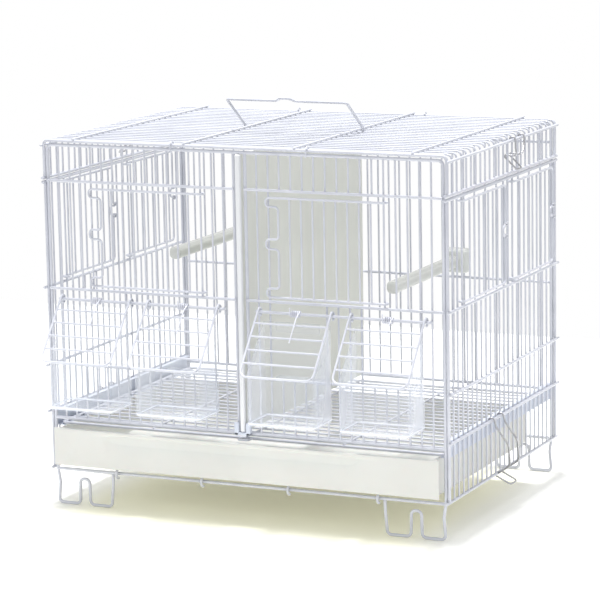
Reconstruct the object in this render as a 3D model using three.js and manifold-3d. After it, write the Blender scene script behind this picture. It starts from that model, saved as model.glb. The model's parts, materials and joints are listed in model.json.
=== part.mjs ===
// A travel bird cage with two compartments, in millimetres. X runs across the front, the front looks
// along -Y and Z is up from the surface that the feet stand on. The wire body is made of welded panels:
// front, back, two sides and a roof whose edges turn down into flaps. A tray and a floor grille slide out
// at the front under the panels, and a sheet between the compartments slides out through a slot.
import * as THREE from "three";
import { mergeVertices } from "three/addons/utils/BufferGeometryUtils.js";
import Module from "manifold-3d";

const wasm = await Module();
wasm.setup();

// Wire body, measured over the corner posts.
const bodyWidth = 444;
const bodyDepth = 312;
const roofCrown = 390;

// Wire thicknesses, across the flats of their sections.
const thinWire = 2;
const postWire = 3.4;
const railWire = 3;
const crossWire = 2.4;
const doorWire = 2.4;
const clipWire = 1.8;
const ringWire = 1.6;
const handleWire = 3;
const springWire = 1.3;
const wireSides = 4;
const springSides = 5;
const clipSides = 6;

// Clearance between neighbouring pieces, and the overrun of every cut.
const fit = 0.3;
const overrun = 5;

// Heights of the long horizontal wires.
const shoulderHeight = 343;
const sillHeight = 232;
const sideMidHeight = 149;
const cupRailHeight = 151;
const clipRailHeight = 100;
const panelFootHeight = 93.5;
const sideFootHeight = 40;
const backRailHeights = [362, 210];

// Gaps between upright wires, counted from the left post or from the front post.
const frontGaps = 35;
const sideGaps = 24;
const frontDoors = [
  { name: "left_front_door", from: 4, to: 14 },
  { name: "right_front_door", from: 20, to: 30 },
];
const feederPorts = [
  { from: 2, to: 7 },
  { from: 10, to: 15 },
  { from: 20, to: 25 },
  { from: 28, to: 33 },
];
const slotPosts = [17, 18];
const sideDoors = [
  { place: "front", from: 3, to: 12 },
  { place: "back", from: 14, to: 23 },
];

// Bends.
const panelCorner = 5;
const roofBend = 5;
const bendSteps = 1;
const curlSteps = 4;

// Where a regular section of the given thickness reaches furthest from its axis.
const reach = (thickness, sides) => thickness / 2 / Math.cos(Math.PI / sides);
const thinReach = reach(thinWire, wireSides);
const postReach = reach(postWire, wireSides);
const railReach = reach(railWire, wireSides);
const doorReach = reach(doorWire, wireSides);
const clipReach = reach(clipWire, clipSides);
const ringReach = reach(ringWire, wireSides);
const handleReach = reach(handleWire, wireSides);
const springReach = reach(springWire, springSides);

// Planes of the panels, worked out from the body's size. A rail lies one fit off the thin wires, so it
// sinks into the thicker posts, and a thin wire that ends on a rail is set off by lap to sink in as well.
const postX = (bodyWidth - postWire) / 2;
const postY = (bodyDepth - postWire) / 2;
const lap = (postWire - thinWire) / 2;
const weldDepth = 0.4;
const railOffset = (thinWire + railWire) / 2 + fit;
const sideX = (bodyWidth + postWire) / 2 + fit;
const sideRailX = sideX + railOffset;
const crossZ = roofCrown - crossWire / 2;
const roofZ = crossZ - (crossWire + thinWire) / 2 - fit;
const panelTop = roofZ - postReach - postWire / 2 - fit;
const frontPitch = (2 * postX) / frontGaps;
const sidePitch = (2 * postY) / sideGaps;
const frontX = (index) => -postX + index * frontPitch;
const sideY = (index) => -postY + index * sidePitch;

// Materials.
const whiteCoat = { color: 0xe9ecf4, roughness: 0.42, metalness: 0 };
const creamPlastic = { color: 0xeeeede, roughness: 0.5, metalness: 0 };
const clearPlastic = { color: 0xe8eef2, roughness: 0.12, metalness: 0, transparent: true, opacity: 0.45 };
const bareSteel = { color: 0x9a9ca1, roughness: 0.35, metalness: 0.9 };
const paleStrip = { color: 0xd7d9e6, roughness: 0.5, metalness: 0 };

const cage = new THREE.Group();

// Adds one named piece to the cage.
function piece(name, geometry, finish) {
  const mesh = new THREE.Mesh(geometry, new THREE.MeshStandardMaterial(finish));
  mesh.name = name;
  cage.add(mesh);
}

const point = (x, y, z) => new THREE.Vector3(x, y, z);

// Turns a closed geometry into a solid that can be joined and cut.
function solidOf(geometry) {
  const bare = geometry.clone();
  bare.deleteAttribute("normal");
  bare.deleteAttribute("uv");
  const merged = mergeVertices(bare);
  return new wasm.Manifold(
    new wasm.Mesh({
      numProp: 3,
      vertProperties: merged.getAttribute("position").array,
      triVerts: merged.index.array,
    }),
  );
}

// Turns a solid back into a geometry.
function geometryOf(solid) {
  const mesh = solid.getMesh();
  const geometry = new THREE.BufferGeometry();
  geometry.setAttribute("position", new THREE.BufferAttribute(mesh.vertProperties, 3));
  geometry.setIndex(new THREE.BufferAttribute(mesh.triVerts, 1));
  geometry.computeVertexNormals();
  return geometry;
}

// Welds wires that touch into one body.
function welded(wires) {
  let whole = solidOf(wires[0]);
  for (const wire of wires.slice(1)) whole = whole.add(solidOf(wire));
  return geometryOf(whole);
}

// A path of straight stretches that an extrusion follows with one step for each stretch.
class WirePath extends THREE.Curve {
  constructor(points) {
    super();
    this.points = points;
    this.stretches = points.length - 1;
  }
  getPoint(share, target = new THREE.Vector3()) {
    const index = Math.min(Math.round(share * this.stretches), this.stretches);
    return target.copy(this.points[index]);
  }
  getPointAt(share, target) {
    return this.getPoint(share, target);
  }
  getTangentAt(share, target = new THREE.Vector3()) {
    const index = Math.round(share * this.stretches);
    const here = this.points[index];
    target.set(0, 0, 0);
    if (index > 0) target.add(here.clone().sub(this.points[index - 1]).normalize());
    if (index < this.stretches) target.add(this.points[index + 1].clone().sub(here).normalize());
    return target.normalize();
  }
}

// A wire of regular section along a path, with flats that face along and across the panels.
const quarterTurn = Math.PI / 2;
function wire(points, thickness, sides = wireSides, twist = 0) {
  const outline = [];
  for (let k = 0; k < sides; k += 1) {
    const angle = ((k + 1 / 2) * 2 * Math.PI) / sides + twist;
    const radius = reach(thickness, sides);
    outline.push(new THREE.Vector2(radius * Math.cos(angle), radius * Math.sin(angle)));
  }
  const path = new WirePath(points);
  return new THREE.ExtrudeGeometry(new THREE.Shape(outline), {
    steps: path.stretches,
    extrudePath: path,
    bevelEnabled: false,
  });
}

// Rounds each inner corner of a line with an arc.
function rounded(points, radius, steps = bendSteps) {
  const line = [points[0]];
  for (let i = 1; i < points.length - 1; i += 1) {
    const corner = points[i];
    const back = points[i - 1].clone().sub(corner).normalize();
    const ahead = points[i + 1].clone().sub(corner).normalize();
    const halfAngle = back.angleTo(ahead) / 2;
    const inward = back.clone().add(ahead).normalize();
    const centre = corner.clone().addScaledVector(inward, radius / Math.sin(halfAngle));
    const start = corner.clone().addScaledVector(back, radius / Math.tan(halfAngle)).sub(centre);
    const end = corner.clone().addScaledVector(ahead, radius / Math.tan(halfAngle)).sub(centre);
    line.push(...arc(centre, start, start.clone().cross(end).normalize(), start.angleTo(end), steps));
  }
  line.push(points[points.length - 1]);
  return line;
}

// Points on an arc that starts at centre + spoke and turns about an axis.
function arc(centre, spoke, axis, sweep, steps) {
  const points = [];
  for (let k = 0; k <= steps; k += 1) {
    points.push(spoke.clone().applyAxisAngle(axis, (sweep * k) / steps).add(centre));
  }
  return points;
}

const alongX = point(1, 0, 0);
const alongY = point(0, 1, 0);
const alongZ = point(0, 0, 1);

// A box between two corners.
function block(low, high) {
  const size = high.clone().sub(low);
  const middle = high.clone().add(low).multiplyScalar(1 / 2);
  return new THREE.BoxGeometry(size.x, size.y, size.z).translate(middle.x, middle.y, middle.z);
}

const upright = (x, y, low, high) => wire([point(x, y, low), point(x, y, high)], thinWire);

// Posts and top wire of the front or back panel, bent from one wire, with the foot wire between them.
function panelFrame(y) {
  const posts = rounded(
    [
      point(-postX, y, sideFootHeight),
      point(-postX, y, panelTop),
      point(postX, y, panelTop),
      point(postX, y, sideFootHeight),
    ],
    panelCorner,
    bendSteps + 1,
  );
  const foot = [point(-postX, y, panelFootHeight), point(postX, y, panelFootHeight)];
  return [wire(posts, postWire), wire(foot, postWire)];
}

// Front panel: doors between the sill and the shoulder rail, feeding ports between the cup rail and the
// sill, and the slot for the divider between two posts where every rail stops.
const frontRailY = -postY - railOffset;
const cupRailY = -postY + railOffset;

function frontUprights(index) {
  const x = frontX(index);
  const inside = ({ from, to }) => index > from && index < to;
  const door = frontDoors.some(inside);
  const port = feederPorts.some(inside);
  if (!door && !port) return [upright(x, -postY, panelFootHeight, panelTop)];
  const lower = port ? cupRailHeight : sillHeight;
  const upper = door ? shoulderHeight + thinWire : sillHeight;
  const lowerY = port ? -postY + lap : -postY - lap;
  return [upright(x, lowerY, panelFootHeight, lower), upright(x, -postY - lap, upper, panelTop)];
}

function frontPanel() {
  const wires = panelFrame(-postY);
  for (const index of slotPosts) {
    wires.push(wire([point(frontX(index), -postY, panelFootHeight), point(frontX(index), -postY, panelTop)],
      postWire));
  }
  const halves = [[0, slotPosts[0]], [slotPosts[1], frontGaps]];
  for (const [first, last] of halves) {
    const rails = [
      [shoulderHeight + thinWire, frontRailY],
      [sillHeight, frontRailY],
      [cupRailHeight, cupRailY],
    ];
    for (const [height, y] of rails) {
      const ends = [point(frontX(first), y, height), point(frontX(last), y, height)];
      wires.push(wire(ends, railWire));
    }
    for (let index = first + 1; index < last; index += 1) wires.push(...frontUprights(index));
  }
  return welded(wires);
}

piece("front_panel", frontPanel(), whiteCoat);

// Back panel: every upright runs from foot to top, with two rails behind them.
function backPanel() {
  const wires = panelFrame(postY);
  for (const height of backRailHeights) {
    const y = postY + railOffset;
    wires.push(wire([point(-postX, y, height), point(postX, y, height)], railWire));
  }
  for (let index = 1; index < frontGaps; index += 1) {
    wires.push(upright(frontX(index), postY, panelFootHeight, panelTop));
  }
  return welded(wires);
}

piece("back_panel", backPanel(), whiteCoat);

// Side panels: a grid from the foot wire, which carries the panel on the base, up to the sill under the
// doors. The rails run outside the uprights and reach past the corner posts. The upper frame stands on the
// sill: the shoulder wire, with the posts and the uprights beside the doors.
const railTip = 3;
const sidePanelTop = sillHeight + railWire / 2;
const upperFrameFoot = sidePanelTop + fit;
const sideTipY = postY + postReach + railTip;
const besideDoors = (index) => !sideDoors.some(({ from, to }) => index > from && index < to);

function sideLong(side, height, at, thickness) {
  return wire([point(side * at, -sideTipY, height), point(side * at, sideTipY, height)], thickness);
}

function sidePosts(x, low, high) {
  return [-postY, postY].map((y) => wire([point(x, y, low), point(x, y, high)], postWire));
}

function sidePanel(side) {
  const x = side * sideX;
  const wires = [
    sideLong(side, sideFootHeight, sideX, postWire),
    ...sidePosts(x, sideFootHeight, sidePanelTop),
    sideLong(side, sillHeight, sideRailX - fit - weldDepth, railWire),
    sideLong(side, sideMidHeight, sideRailX, railWire),
    sideLong(side, clipRailHeight, sideRailX, railWire),
  ];
  for (let index = 1; index < sideGaps; index += 1) {
    wires.push(upright(x, sideY(index), sideFootHeight, besideDoors(index) ? sidePanelTop : sillHeight));
  }
  return welded(wires);
}

function sideUpperFrame(side) {
  const x = side * sideX;
  const wires = [
    sideLong(side, shoulderHeight, sideX, postWire),
    ...sidePosts(x, upperFrameFoot, shoulderHeight),
  ];
  for (let index = 1; index < sideGaps; index += 1) {
    if (besideDoors(index)) wires.push(upright(x, sideY(index), upperFrameFoot, shoulderHeight));
  }
  return welded(wires);
}

for (const [place, side] of [["left", -1], ["right", 1]]) {
  piece(`${place}_side_panel`, sidePanel(side), whiteCoat);
  piece(`${place}_side_upper_frame`, sideUpperFrame(side), whiteCoat);
}

// Roof: wires across the top that turn down at both sides into flaps, two thicker edge wires, four long
// wires on top, and on each flap a foot wire and a rail for the clip.
const flapStandoff = 0.3;
const flapLift = 0.8;
const flapX = sideX + flapStandoff;
const flapFoot = shoulderHeight + postWire + flapLift;
const flapRailX = flapX + railOffset;
const flapRailHeight = roofZ - roofBend - fit;
const innerLongWireShare = 0.28;
const outerLongWireShare = 0.858;
const innerLongWireX = innerLongWireShare * postX;
const outerLongWireX = outerLongWireShare * postX;
const longWirePlaces = [-outerLongWireX, -innerLongWireX, innerLongWireX, outerLongWireX];

function roofWire(y, thickness, steps = bendSteps) {
  const line = [
    point(-flapX, y, flapFoot),
    point(-flapX, y, roofZ),
    point(flapX, y, roofZ),
    point(flapX, y, flapFoot),
  ];
  return wire(rounded(line, roofBend, steps), thickness);
}

function roofPanel() {
  const tipY = postY + postReach;
  const wires = [-postY, postY].map((y) => roofWire(y, postWire, bendSteps + 1));
  for (const side of [-1, 1]) {
    const footX = side * flapX;
    const railX = side * flapRailX;
    const foot = [point(footX, -tipY - railTip, flapFoot), point(footX, tipY + railTip, flapFoot)];
    const rail = [point(railX, -tipY, flapRailHeight), point(railX, tipY, flapRailHeight)];
    wires.push(wire(foot, postWire), wire(rail, railWire));
  }
  for (const x of longWirePlaces) {
    wires.push(wire([point(x, -tipY, crossZ), point(x, tipY, crossZ)], crossWire));
  }
  for (let index = 1; index < sideGaps; index += 1) wires.push(roofWire(sideY(index), thinWire));
  return welded(wires);
}

piece("roof_panel", roofPanel(), whiteCoat);

// Rings at the back edge, on which the roof swings, and hooks that sit over the front panel's top wire.
const ringPlaces = [11.5, 23.5];
const ringRadius = postReach + fit + ringReach;
const hookDrop = 6;

function hingeRing(x) {
  const roofWireCentre = point(x, postY, roofZ);
  const panelWireCentre = point(x, postY, panelTop);
  const lower = arc(panelWireCentre, point(0, -ringRadius, 0).applyAxisAngle(alongX, Math.PI / 4),
    alongX, Math.PI * (3 / 4), curlSteps);
  const upper = arc(roofWireCentre, point(0, ringRadius, 0), alongX, Math.PI, curlSteps);
  const end = point(x, postY - ringRadius, panelTop + fit);
  return wire([...lower, ...upper, end], ringWire);
}

function frontHook(x) {
  const over = arc(point(x, -postY, roofZ), point(0, ringRadius, 0), alongX, Math.PI, curlSteps);
  const end = point(x, -postY - ringRadius, roofZ - hookDrop);
  return wire([...over, end], ringWire);
}

["left", "right"].forEach((place, index) => {
  piece(`${place}_roof_hinge_ring`, hingeRing(frontX(ringPlaces[index])), whiteCoat);
  piece(`${place}_roof_front_hook`, frontHook(frontX(ringPlaces[index])), whiteCoat);
});

// Doors: one bent wire whose ends curl round an upright, with thin uprights between. The free edge has a
// finger loop that snaps over the next upright of the panel.
const doorMargin = 5;
const doorTop = shoulderHeight - doorMargin;
const doorBottom = sillHeight + doorMargin;
const doorStandoff = thinReach + fit + doorReach;
const doorBend = 4;
const lobeHeight = 9;
const lobeReach = 1;
const loopMiddle = 291;
const loopHeight = 10;
const loopPast = 1;
const loopTop = loopMiddle + loopHeight / 2;
const loopBottom = loopMiddle - loopHeight / 2;

function frontDoor({ from, to }) {
  const hingeY = -postY - lap;
  const y = hingeY - doorStandoff;
  const hinge = frontX(to);
  const corner = frontX(from) - lobeReach;
  const stile = frontX(from + 1);
  const tip = frontX(from) - loopPast;
  const spoke = point(0, doorStandoff, 0);
  const topCurl = arc(point(hinge, hingeY, doorTop), spoke, alongZ, -Math.PI, curlSteps);
  const bottomCurl = arc(point(hinge, hingeY, doorBottom), spoke, alongZ, -Math.PI, curlSteps).reverse();
  const edge = rounded(
    [
      point(hinge, y, doorTop),
      point(corner, y, doorTop),
      point(corner, y, doorTop - lobeHeight),
      point(stile, y, doorTop - lobeHeight),
      point(stile, y, loopTop),
      point(tip, y, loopTop),
      point(tip, y, loopBottom),
      point(stile, y, loopBottom),
      point(stile, y, doorBottom + lobeHeight),
      point(corner, y, doorBottom + lobeHeight),
      point(corner, y, doorBottom),
      point(hinge, y, doorBottom),
    ],
    doorBend,
  );
  const wires = [wire([...topCurl, ...edge.slice(1, -1), ...bottomCurl], doorWire)];
  for (let index = from + 2; index < to; index += 1) {
    wires.push(upright(frontX(index), y, doorBottom, doorTop));
  }
  return welded(wires);
}

for (const door of frontDoors) piece(door.name, frontDoor(door), whiteCoat);

const sideDoorSetback = 3;
const sideLoopPast = 7;
function sideDoor(side, { from, to }) {
  const x = side * (sideX + doorStandoff);
  const hinge = sideY(from);
  const stile = sideY(to) - sideDoorSetback;
  const tip = sideY(to) + sideLoopPast;
  const spoke = point(-side * doorStandoff, 0, 0);
  const topCurl = arc(point(side * sideX, hinge, doorTop), spoke, alongZ, side * Math.PI, curlSteps);
  const bottomCurl = arc(point(side * sideX, hinge, doorBottom), spoke, alongZ, side * Math.PI, curlSteps);
  const edge = rounded(
    [
      point(x, hinge, doorTop),
      point(x, stile, doorTop),
      point(x, stile, loopTop),
      point(x, tip, loopTop),
      point(x, tip, loopBottom),
      point(x, stile, loopBottom),
      point(x, stile, doorBottom),
      point(x, hinge, doorBottom),
    ],
    doorBend,
  );
  const line = [...topCurl, ...edge.slice(1, -1), ...bottomCurl.reverse()];
  const wires = [wire(line, doorWire)];
  for (let index = from + 1; index < to; index += 1) {
    wires.push(upright(x, sideY(index), doorBottom, doorTop));
  }
  return welded(wires);
}

for (const [place, side] of [["left", -1], ["right", 1]]) {
  for (const door of sideDoors) piece(`${place}_side_${door.place}_door`, sideDoor(side, door), whiteCoat);
}

// Channels along the foot of the side panels, in which the floor grille slides.
const channel = { web: 1.3, flange: 1.2, height: 17, ledge: 9, lip: 5, length: 300, gap: 0.8 };
const channelX = sideX - thinWire / 2 - channel.gap;

// Tray: a shallow drawer with a wider front, between the channels, on four wires that run from front to back.
const traySideGap = 1.2;
const trayFrontInset = 5;
const trayWidth = 2 * (channelX - channel.ledge - traySideGap);
const trayFrontWidth = bodyWidth - 2 * trayFrontInset;
const trayBottom = 45;
const trayTop = 85;
const trayWall = 2.4;
const trayFrontThick = 3;
const trayProud = 11;
const trayDepth = 267;
const trayFrontY = -bodyDepth / 2 - trayProud;

// The floor, the walls and the front of the tray, each a plain board that stands one fit off its neighbours.
function trayBoards() {
  const half = trayWidth / 2;
  const halfFront = trayFrontWidth / 2;
  const front = trayFrontY + trayFrontThick + fit;
  const back = trayFrontY + trayDepth;
  const wallFoot = trayBottom + trayWall + fit;
  const between = half - trayWall - fit;
  return {
    tray: block(point(-half, front, trayBottom), point(half, back, trayBottom + trayWall)),
    tray_front_plate: block(point(-halfFront, trayFrontY, trayBottom),
      point(halfFront, trayFrontY + trayFrontThick, trayTop)),
    tray_left_wall: block(point(-half, front, wallFoot), point(-half + trayWall, back, trayTop)),
    tray_right_wall: block(point(half - trayWall, front, wallFoot), point(half, back, trayTop)),
    tray_back_wall: block(point(-between, back - trayWall, wallFoot), point(between, back, trayTop)),
  };
}

for (const [name, board] of Object.entries(trayBoards())) piece(name, board, creamPlastic);

const baseCrossZ = trayBottom - fit - railWire / 2;
const baseWireZ = baseCrossZ - postReach - fit - railReach;
const baseCrossShares = [-0.672, -0.2225, 0.2225, 0.672];
const baseEnd = postX - postWire / 2 - fit;

for (const [place, y] of [["front", -postY], ["back", postY]]) {
  const ends = [point(-baseEnd, y, baseWireZ), point(baseEnd, y, baseWireZ)];
  piece(`${place}_base_wire`, wire(ends, postWire), whiteCoat);
}

baseCrossShares.forEach((share, index) => {
  const x = share * postX;
  const curl = baseCrossZ - baseWireZ;
  const front = arc(point(x, -postY, baseWireZ), point(0, 0, -curl), alongX, -Math.PI, curlSteps);
  const back = arc(point(x, postY, baseWireZ), point(0, 0, curl), alongX, -Math.PI, curlSteps);
  piece(`base_cross_wire_${index + 1}`, wire([...front, ...back], railWire), whiteCoat);
});

// Feet: one bent wire each, with a hump between two runs on the ground.
const footSpan = 62;
const footHump = { outer: 26, width: 12, top: 29 };
const footBend = 4;

for (const [place, side] of [["left", -1], ["right", 1]]) {
  for (const [end, y] of [["front", -postY], ["back", postY]]) {
    const ground = postWire / 2;
    const at = (inset, height) => point(side * (postX - inset), y, height);
    const hump = footHump.outer + footHump.width;
    const line = [
      at(0, sideFootHeight - fit),
      at(0, ground),
      at(footHump.outer, ground),
      at(footHump.outer, footHump.top),
      at(hump, footHump.top),
      at(hump, ground),
      at(footSpan, ground),
      at(footSpan, baseWireZ - postWire / 2 - fit),
    ];
    const foot = wire(rounded(line, footBend), postWire);
    piece(`${place}_${end}_foot`, foot, whiteCoat);
  }
}

// Floor grille above the tray, carried at its sides by the channels.
const grilleSideGap = 3.4;
const grilleEndGap = 3.8;
const grilleX = channelX - channel.web - grilleSideGap - railWire / 2;
const grilleY = postY - grilleEndGap;
const grilleGaps = 20;
const grilleZ = trayTop + fit + fit + railWire / 2;
const grilleCrossShares = [-0.5, 0, 0.5];
const pullTabWidth = 12;
const pullTabReach = 9;

function floorGrille() {
  const wires = [];
  for (const side of [-1, 1]) {
    const x = side * grilleX;
    wires.push(wire([point(x, -grilleY, grilleZ), point(x, grilleY, grilleZ)], railWire));
  }
  for (let index = 0; index <= grilleGaps; index += 1) {
    const edge = index === 0 || index === grilleGaps;
    const inset = edge ? railWire / 2 : 0;
    const y = -grilleY + (2 * grilleY * index) / grilleGaps + (index === 0 ? inset : -inset);
    const ends = [point(-grilleX, y, grilleZ), point(grilleX, y, grilleZ)];
    wires.push(edge ? wire(ends, railWire) : wire(ends, thinWire));
  }
  for (const share of grilleCrossShares) {
    const x = share * grilleX;
    const z = grilleZ + thinWire + fit;
    const end = grilleY - railWire / 2;
    wires.push(wire([point(x, -end, z), point(x, end, z)], thinWire));
  }
  const front = -grilleY;
  const tab = [
    point(-pullTabWidth / 2, front + railWire / 2, grilleZ),
    point(-pullTabWidth / 2, front - pullTabReach, grilleZ),
    point(pullTabWidth / 2, front - pullTabReach, grilleZ),
    point(pullTabWidth / 2, front + railWire / 2, grilleZ),
  ];
  wires.push(wire(tab, thinWire));
  return welded(wires);
}

piece("floor_grille", floorGrille(), whiteCoat);

function floorChannel(side) {
  const low = grilleZ - railWire / 2 - fit - channel.flange;
  const high = low + channel.height;
  const at = (inset, height) => new THREE.Vector2(side * (channelX - inset), height);
  const outline = [
    at(0, low),
    at(channel.ledge, low),
    at(channel.ledge, low + channel.flange),
    at(channel.web, low + channel.flange),
    at(channel.web, high - channel.flange),
    at(channel.lip, high - channel.flange),
    at(channel.lip, high),
    at(0, high),
  ];
  const length = new THREE.ExtrudeGeometry(new THREE.Shape(outline), {
    depth: channel.length,
    bevelEnabled: false,
  });
  return length.rotateX(quarterTurn).translate(0, channel.length / 2, 0);
}

piece("left_floor_channel", floorChannel(-1), paleStrip);
piece("right_floor_channel", floorChannel(1), paleStrip);

// Divider: a sheet with a wider front strip that fills the slot of the front panel, and its guide.
const dividerThick = 2.5;
const dividerStrip = { width: 7.4, depth: 5 };
const dividerFront = -bodyDepth / 2 - dividerStrip.depth + 1;
const dividerBackGap = 4.3;
const dividerBack = postY - dividerBackGap;
const dividerBottom = panelFootHeight + postWire / 2 + fit;
const dividerTop = panelTop - postWire / 2 - fit;

function divider() {
  const strip = point(dividerStrip.width / 2, dividerFront + dividerStrip.depth, dividerTop);
  const front = block(point(-dividerStrip.width / 2, dividerFront, dividerBottom), strip);
  const sheet = block(point(-dividerThick / 2, dividerFront + dividerStrip.depth / 2, dividerBottom),
    point(dividerThick / 2, dividerBack, dividerTop));
  return welded([front, sheet]);
}

piece("divider", divider(), creamPlastic);

const guide = { width: 18, depth: 4, low: 92, high: 105 };

function dividerGuide() {
  const back = -postY - postReach - fit;
  const notch = dividerStrip.width / 2 + fit;
  const whole = solidOf(block(point(-guide.width / 2, back - guide.depth, guide.low),
    point(guide.width / 2, back, guide.high)));
  const cut = solidOf(block(point(-notch, back - guide.depth - overrun, dividerBottom - fit),
    point(notch, back + overrun, guide.high + overrun)));
  return geometryOf(whole.subtract(cut));
}

piece("divider_guide", dividerGuide(), paleStrip);

// Feeders: a rod in front of the panel carries two hoods, each closed by a coil spring over its cup.
const rodZ = 222;
const rodStandoff = 7.2;
const rodY = -postY - rodStandoff;
const rodBend = 2.5;
const rodPlaces = [
  { name: "left_feeder_rod", from: 1, to: 16 },
  { name: "right_feeder_rod", from: 19, to: 34 },
];

for (const { name, from, to } of rodPlaces) {
  const seat = -postY - thinWire / 2 - fit;
  const line = [
    point(frontX(from), seat, rodZ),
    point(frontX(from), rodY, rodZ),
    point(frontX(to), rodY, rodZ),
    point(frontX(to), seat, rodZ),
  ];
  piece(name, wire(rounded(line, rodBend, 1), railWire), whiteCoat);
}

const hood = { width: 80, forward: 48, drop: 59, corner: 12, bars: 4, curl: (7 / 6) * Math.PI };
const hoodCurl = railReach + fit + doorReach;
const hoodLength = Math.hypot(hood.forward, hood.drop);
const hoodSlope = Math.atan2(hood.drop, hood.forward);
const hoodDown = point(0, -hood.forward / hoodLength, -hood.drop / hoodLength);
const hoodOut = point(0, -hood.drop / hoodLength, hood.forward / hoodLength);

// A point on the slope of a hood: along is down the slope from the rod, out is square to the slope.
function onHood(x, along, out) {
  return point(x, rodY, rodZ).addScaledVector(hoodDown, along).addScaledVector(hoodOut, out);
}

function feederHood(centre) {
  const left = centre - hood.width / 2;
  const right = centre + hood.width / 2;
  const spoke = hoodOut.clone().multiplyScalar(hoodCurl);
  const curl = (x) => arc(point(x, rodY, rodZ), spoke, alongX, -hood.curl, curlSteps);
  const frame = rounded(
    [
      onHood(left, 0, hoodCurl),
      onHood(left, hoodLength, hoodCurl),
      onHood(right, hoodLength, hoodCurl),
      onHood(right, 0, hoodCurl),
    ],
    hood.corner,
  );
  const line = [...curl(left).reverse(), ...frame.slice(1, -1), ...curl(right)];
  const wires = [wire(line, doorWire)];
  for (let bar = 1; bar <= hood.bars; bar += 1) {
    const along = (hoodLength * bar) / (hood.bars + 1);
    const ends = [onHood(left, along, hoodCurl), onHood(right, along, hoodCurl)];
    wires.push(wire(ends, thinWire, wireSides, hoodSlope));
  }
  return welded(wires);
}

const spring = { radius: 2.95, turns: 5, pitch: 2.1, rise: 8, leg: 36, shortLeg: 6, stepsPerTurn: 8 };

// The coil starts at the foot of its short leg, in front of the rod, and leaves down the hood's slope.
function springLine(centre) {
  const startAngle = Math.PI;
  const endAngle = Math.atan2(hoodOut.z, hoodOut.y) + 2 * Math.PI * spring.turns;
  const steps = Math.round(((endAngle - startAngle) / 2 / Math.PI) * spring.stepsPerTurn);
  const length = (spring.pitch * (endAngle - startAngle)) / 2 / Math.PI;
  const line = [point(centre - length / 2, rodY - spring.radius, rodZ + spring.shortLeg)];
  for (let k = 0; k <= steps; k += 1) {
    const angle = startAngle + ((endAngle - startAngle) * k) / steps;
    const x = centre - length / 2 + (length * k) / steps;
    line.push(point(x, rodY + spring.radius * Math.cos(angle), rodZ + spring.radius * Math.sin(angle)));
  }
  const out = hoodCurl + thinReach + fit + springReach;
  line.push(onHood(centre + length / 2, spring.rise, out));
  line.push(onHood(centre + length / 2, spring.leg, out));
  return line;
}

// The least gap between turns of a coil, from points half a turn or more apart along it.
function leastGap(line) {
  let least = Infinity;
  line.forEach((here, i) => {
    for (let j = i + spring.stepsPerTurn - 1; j < line.length; j += 1) {
      least = Math.min(least, here.distanceTo(line[j]));
    }
  });
  return least - springWire;
}

const feederCentres = feederPorts.map(({ from, to }) => (frontX(from) + frontX(to)) / 2);
const cup = { width: 74, front: 48, low: 113, rim: 162, wingTop: 212, wingBack: 9, wall: 2 };
const cupHole = { width: 46, low: 168, high: 202 };
const cupLip = { width: 50, thick: 1.8, hook: 7 };

function feederCup(centre) {
  const back = -postY - postWire / 2 - fit - fit;
  const front = -bodyDepth / 2 - cup.front;
  const wingY = back - cup.wingBack;
  const outline = [
    new THREE.Vector2(-back, cup.low),
    new THREE.Vector2(-back, cup.wingTop),
    new THREE.Vector2(-wingY, cup.wingTop),
    new THREE.Vector2(-front, cup.rim),
    new THREE.Vector2(-front, cup.low),
  ];
  const side = new THREE.ExtrudeGeometry(new THREE.Shape(outline), { depth: cup.width, bevelEnabled: false });
  const stand = new THREE.Matrix4().makeBasis(point(0, -1, 0), alongZ, point(-1, 0, 0));
  side.applyMatrix4(stand).translate(centre + cup.width / 2, 0, 0);
  const half = cup.width / 2 - cup.wall;
  const hollow = block(point(centre - half, front + cup.wall, cup.low + cup.wall),
    point(centre + half, back - cup.wall, cup.wingTop + overrun));
  const hole = block(point(centre - cupHole.width / 2, back - cup.wall - overrun, cupHole.low),
    point(centre + cupHole.width / 2, back + overrun, cupHole.high));
  const shelf = cupRailHeight + railReach + fit;
  const hookY = cupRailY + railWire / 2 + fit;
  const lipHalf = cupLip.width / 2;
  const lip = block(point(centre - lipHalf, back - cup.wall / 2, shelf),
    point(centre + lipHalf, hookY + cupLip.thick, shelf + cupLip.thick));
  const hook = block(point(centre - lipHalf, hookY, shelf + cupLip.thick - cupLip.hook),
    point(centre + lipHalf, hookY + cupLip.thick, shelf + cupLip.thick));
  const body = solidOf(side).subtract(solidOf(hollow)).subtract(solidOf(hole));
  return geometryOf(body.add(solidOf(lip)).add(solidOf(hook)));
}

feederCentres.forEach((centre, index) => {
  const number = index + 1;
  piece(`feeder_hood_${number}`, feederHood(centre), whiteCoat);
  piece(`feeder_spring_${number}`, wire(springLine(centre), springWire, springSides), bareSteel);
  piece(`feeder_cup_${number}`, feederCup(centre), clearPlastic);
});
console.log(`least gap between spring turns ${leastGap(springLine(feederCentres[0])).toFixed(2)} mm`);

// Clips of bare wire: two hooked legs on a rail and a thumb tab. The lower ones reach under the foot wire
// of the side panel, and the upper ones hang on the roof's flaps.
const clipCurl = railReach + fit + clipReach;
const clipSweep = (5 / 6) * Math.PI;
const clipBend = 1.7;
const lowerClipGaps = [8.5, 10.5];
const upperClipGaps = [13.5, 15.5];
const lowerClip = {
  start: 2, startDrop: 6, bow: 15, bowDrop: 26, bowLean: 10, belly: 13, bellyDrop: 50, bellyLean: 20,
  standoff: 6, tuck: 4, tuckLean: 23, inset: 3.5, tabReach: 13, tabDrop: 9, tabLean: 2,
};
const upperClip = {
  straight: 8, drop: 16, step: 1, tuck: 15, tuckDrop: 15, tabDrop: 30, nearShift: 1, farShift: -10,
};

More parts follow.
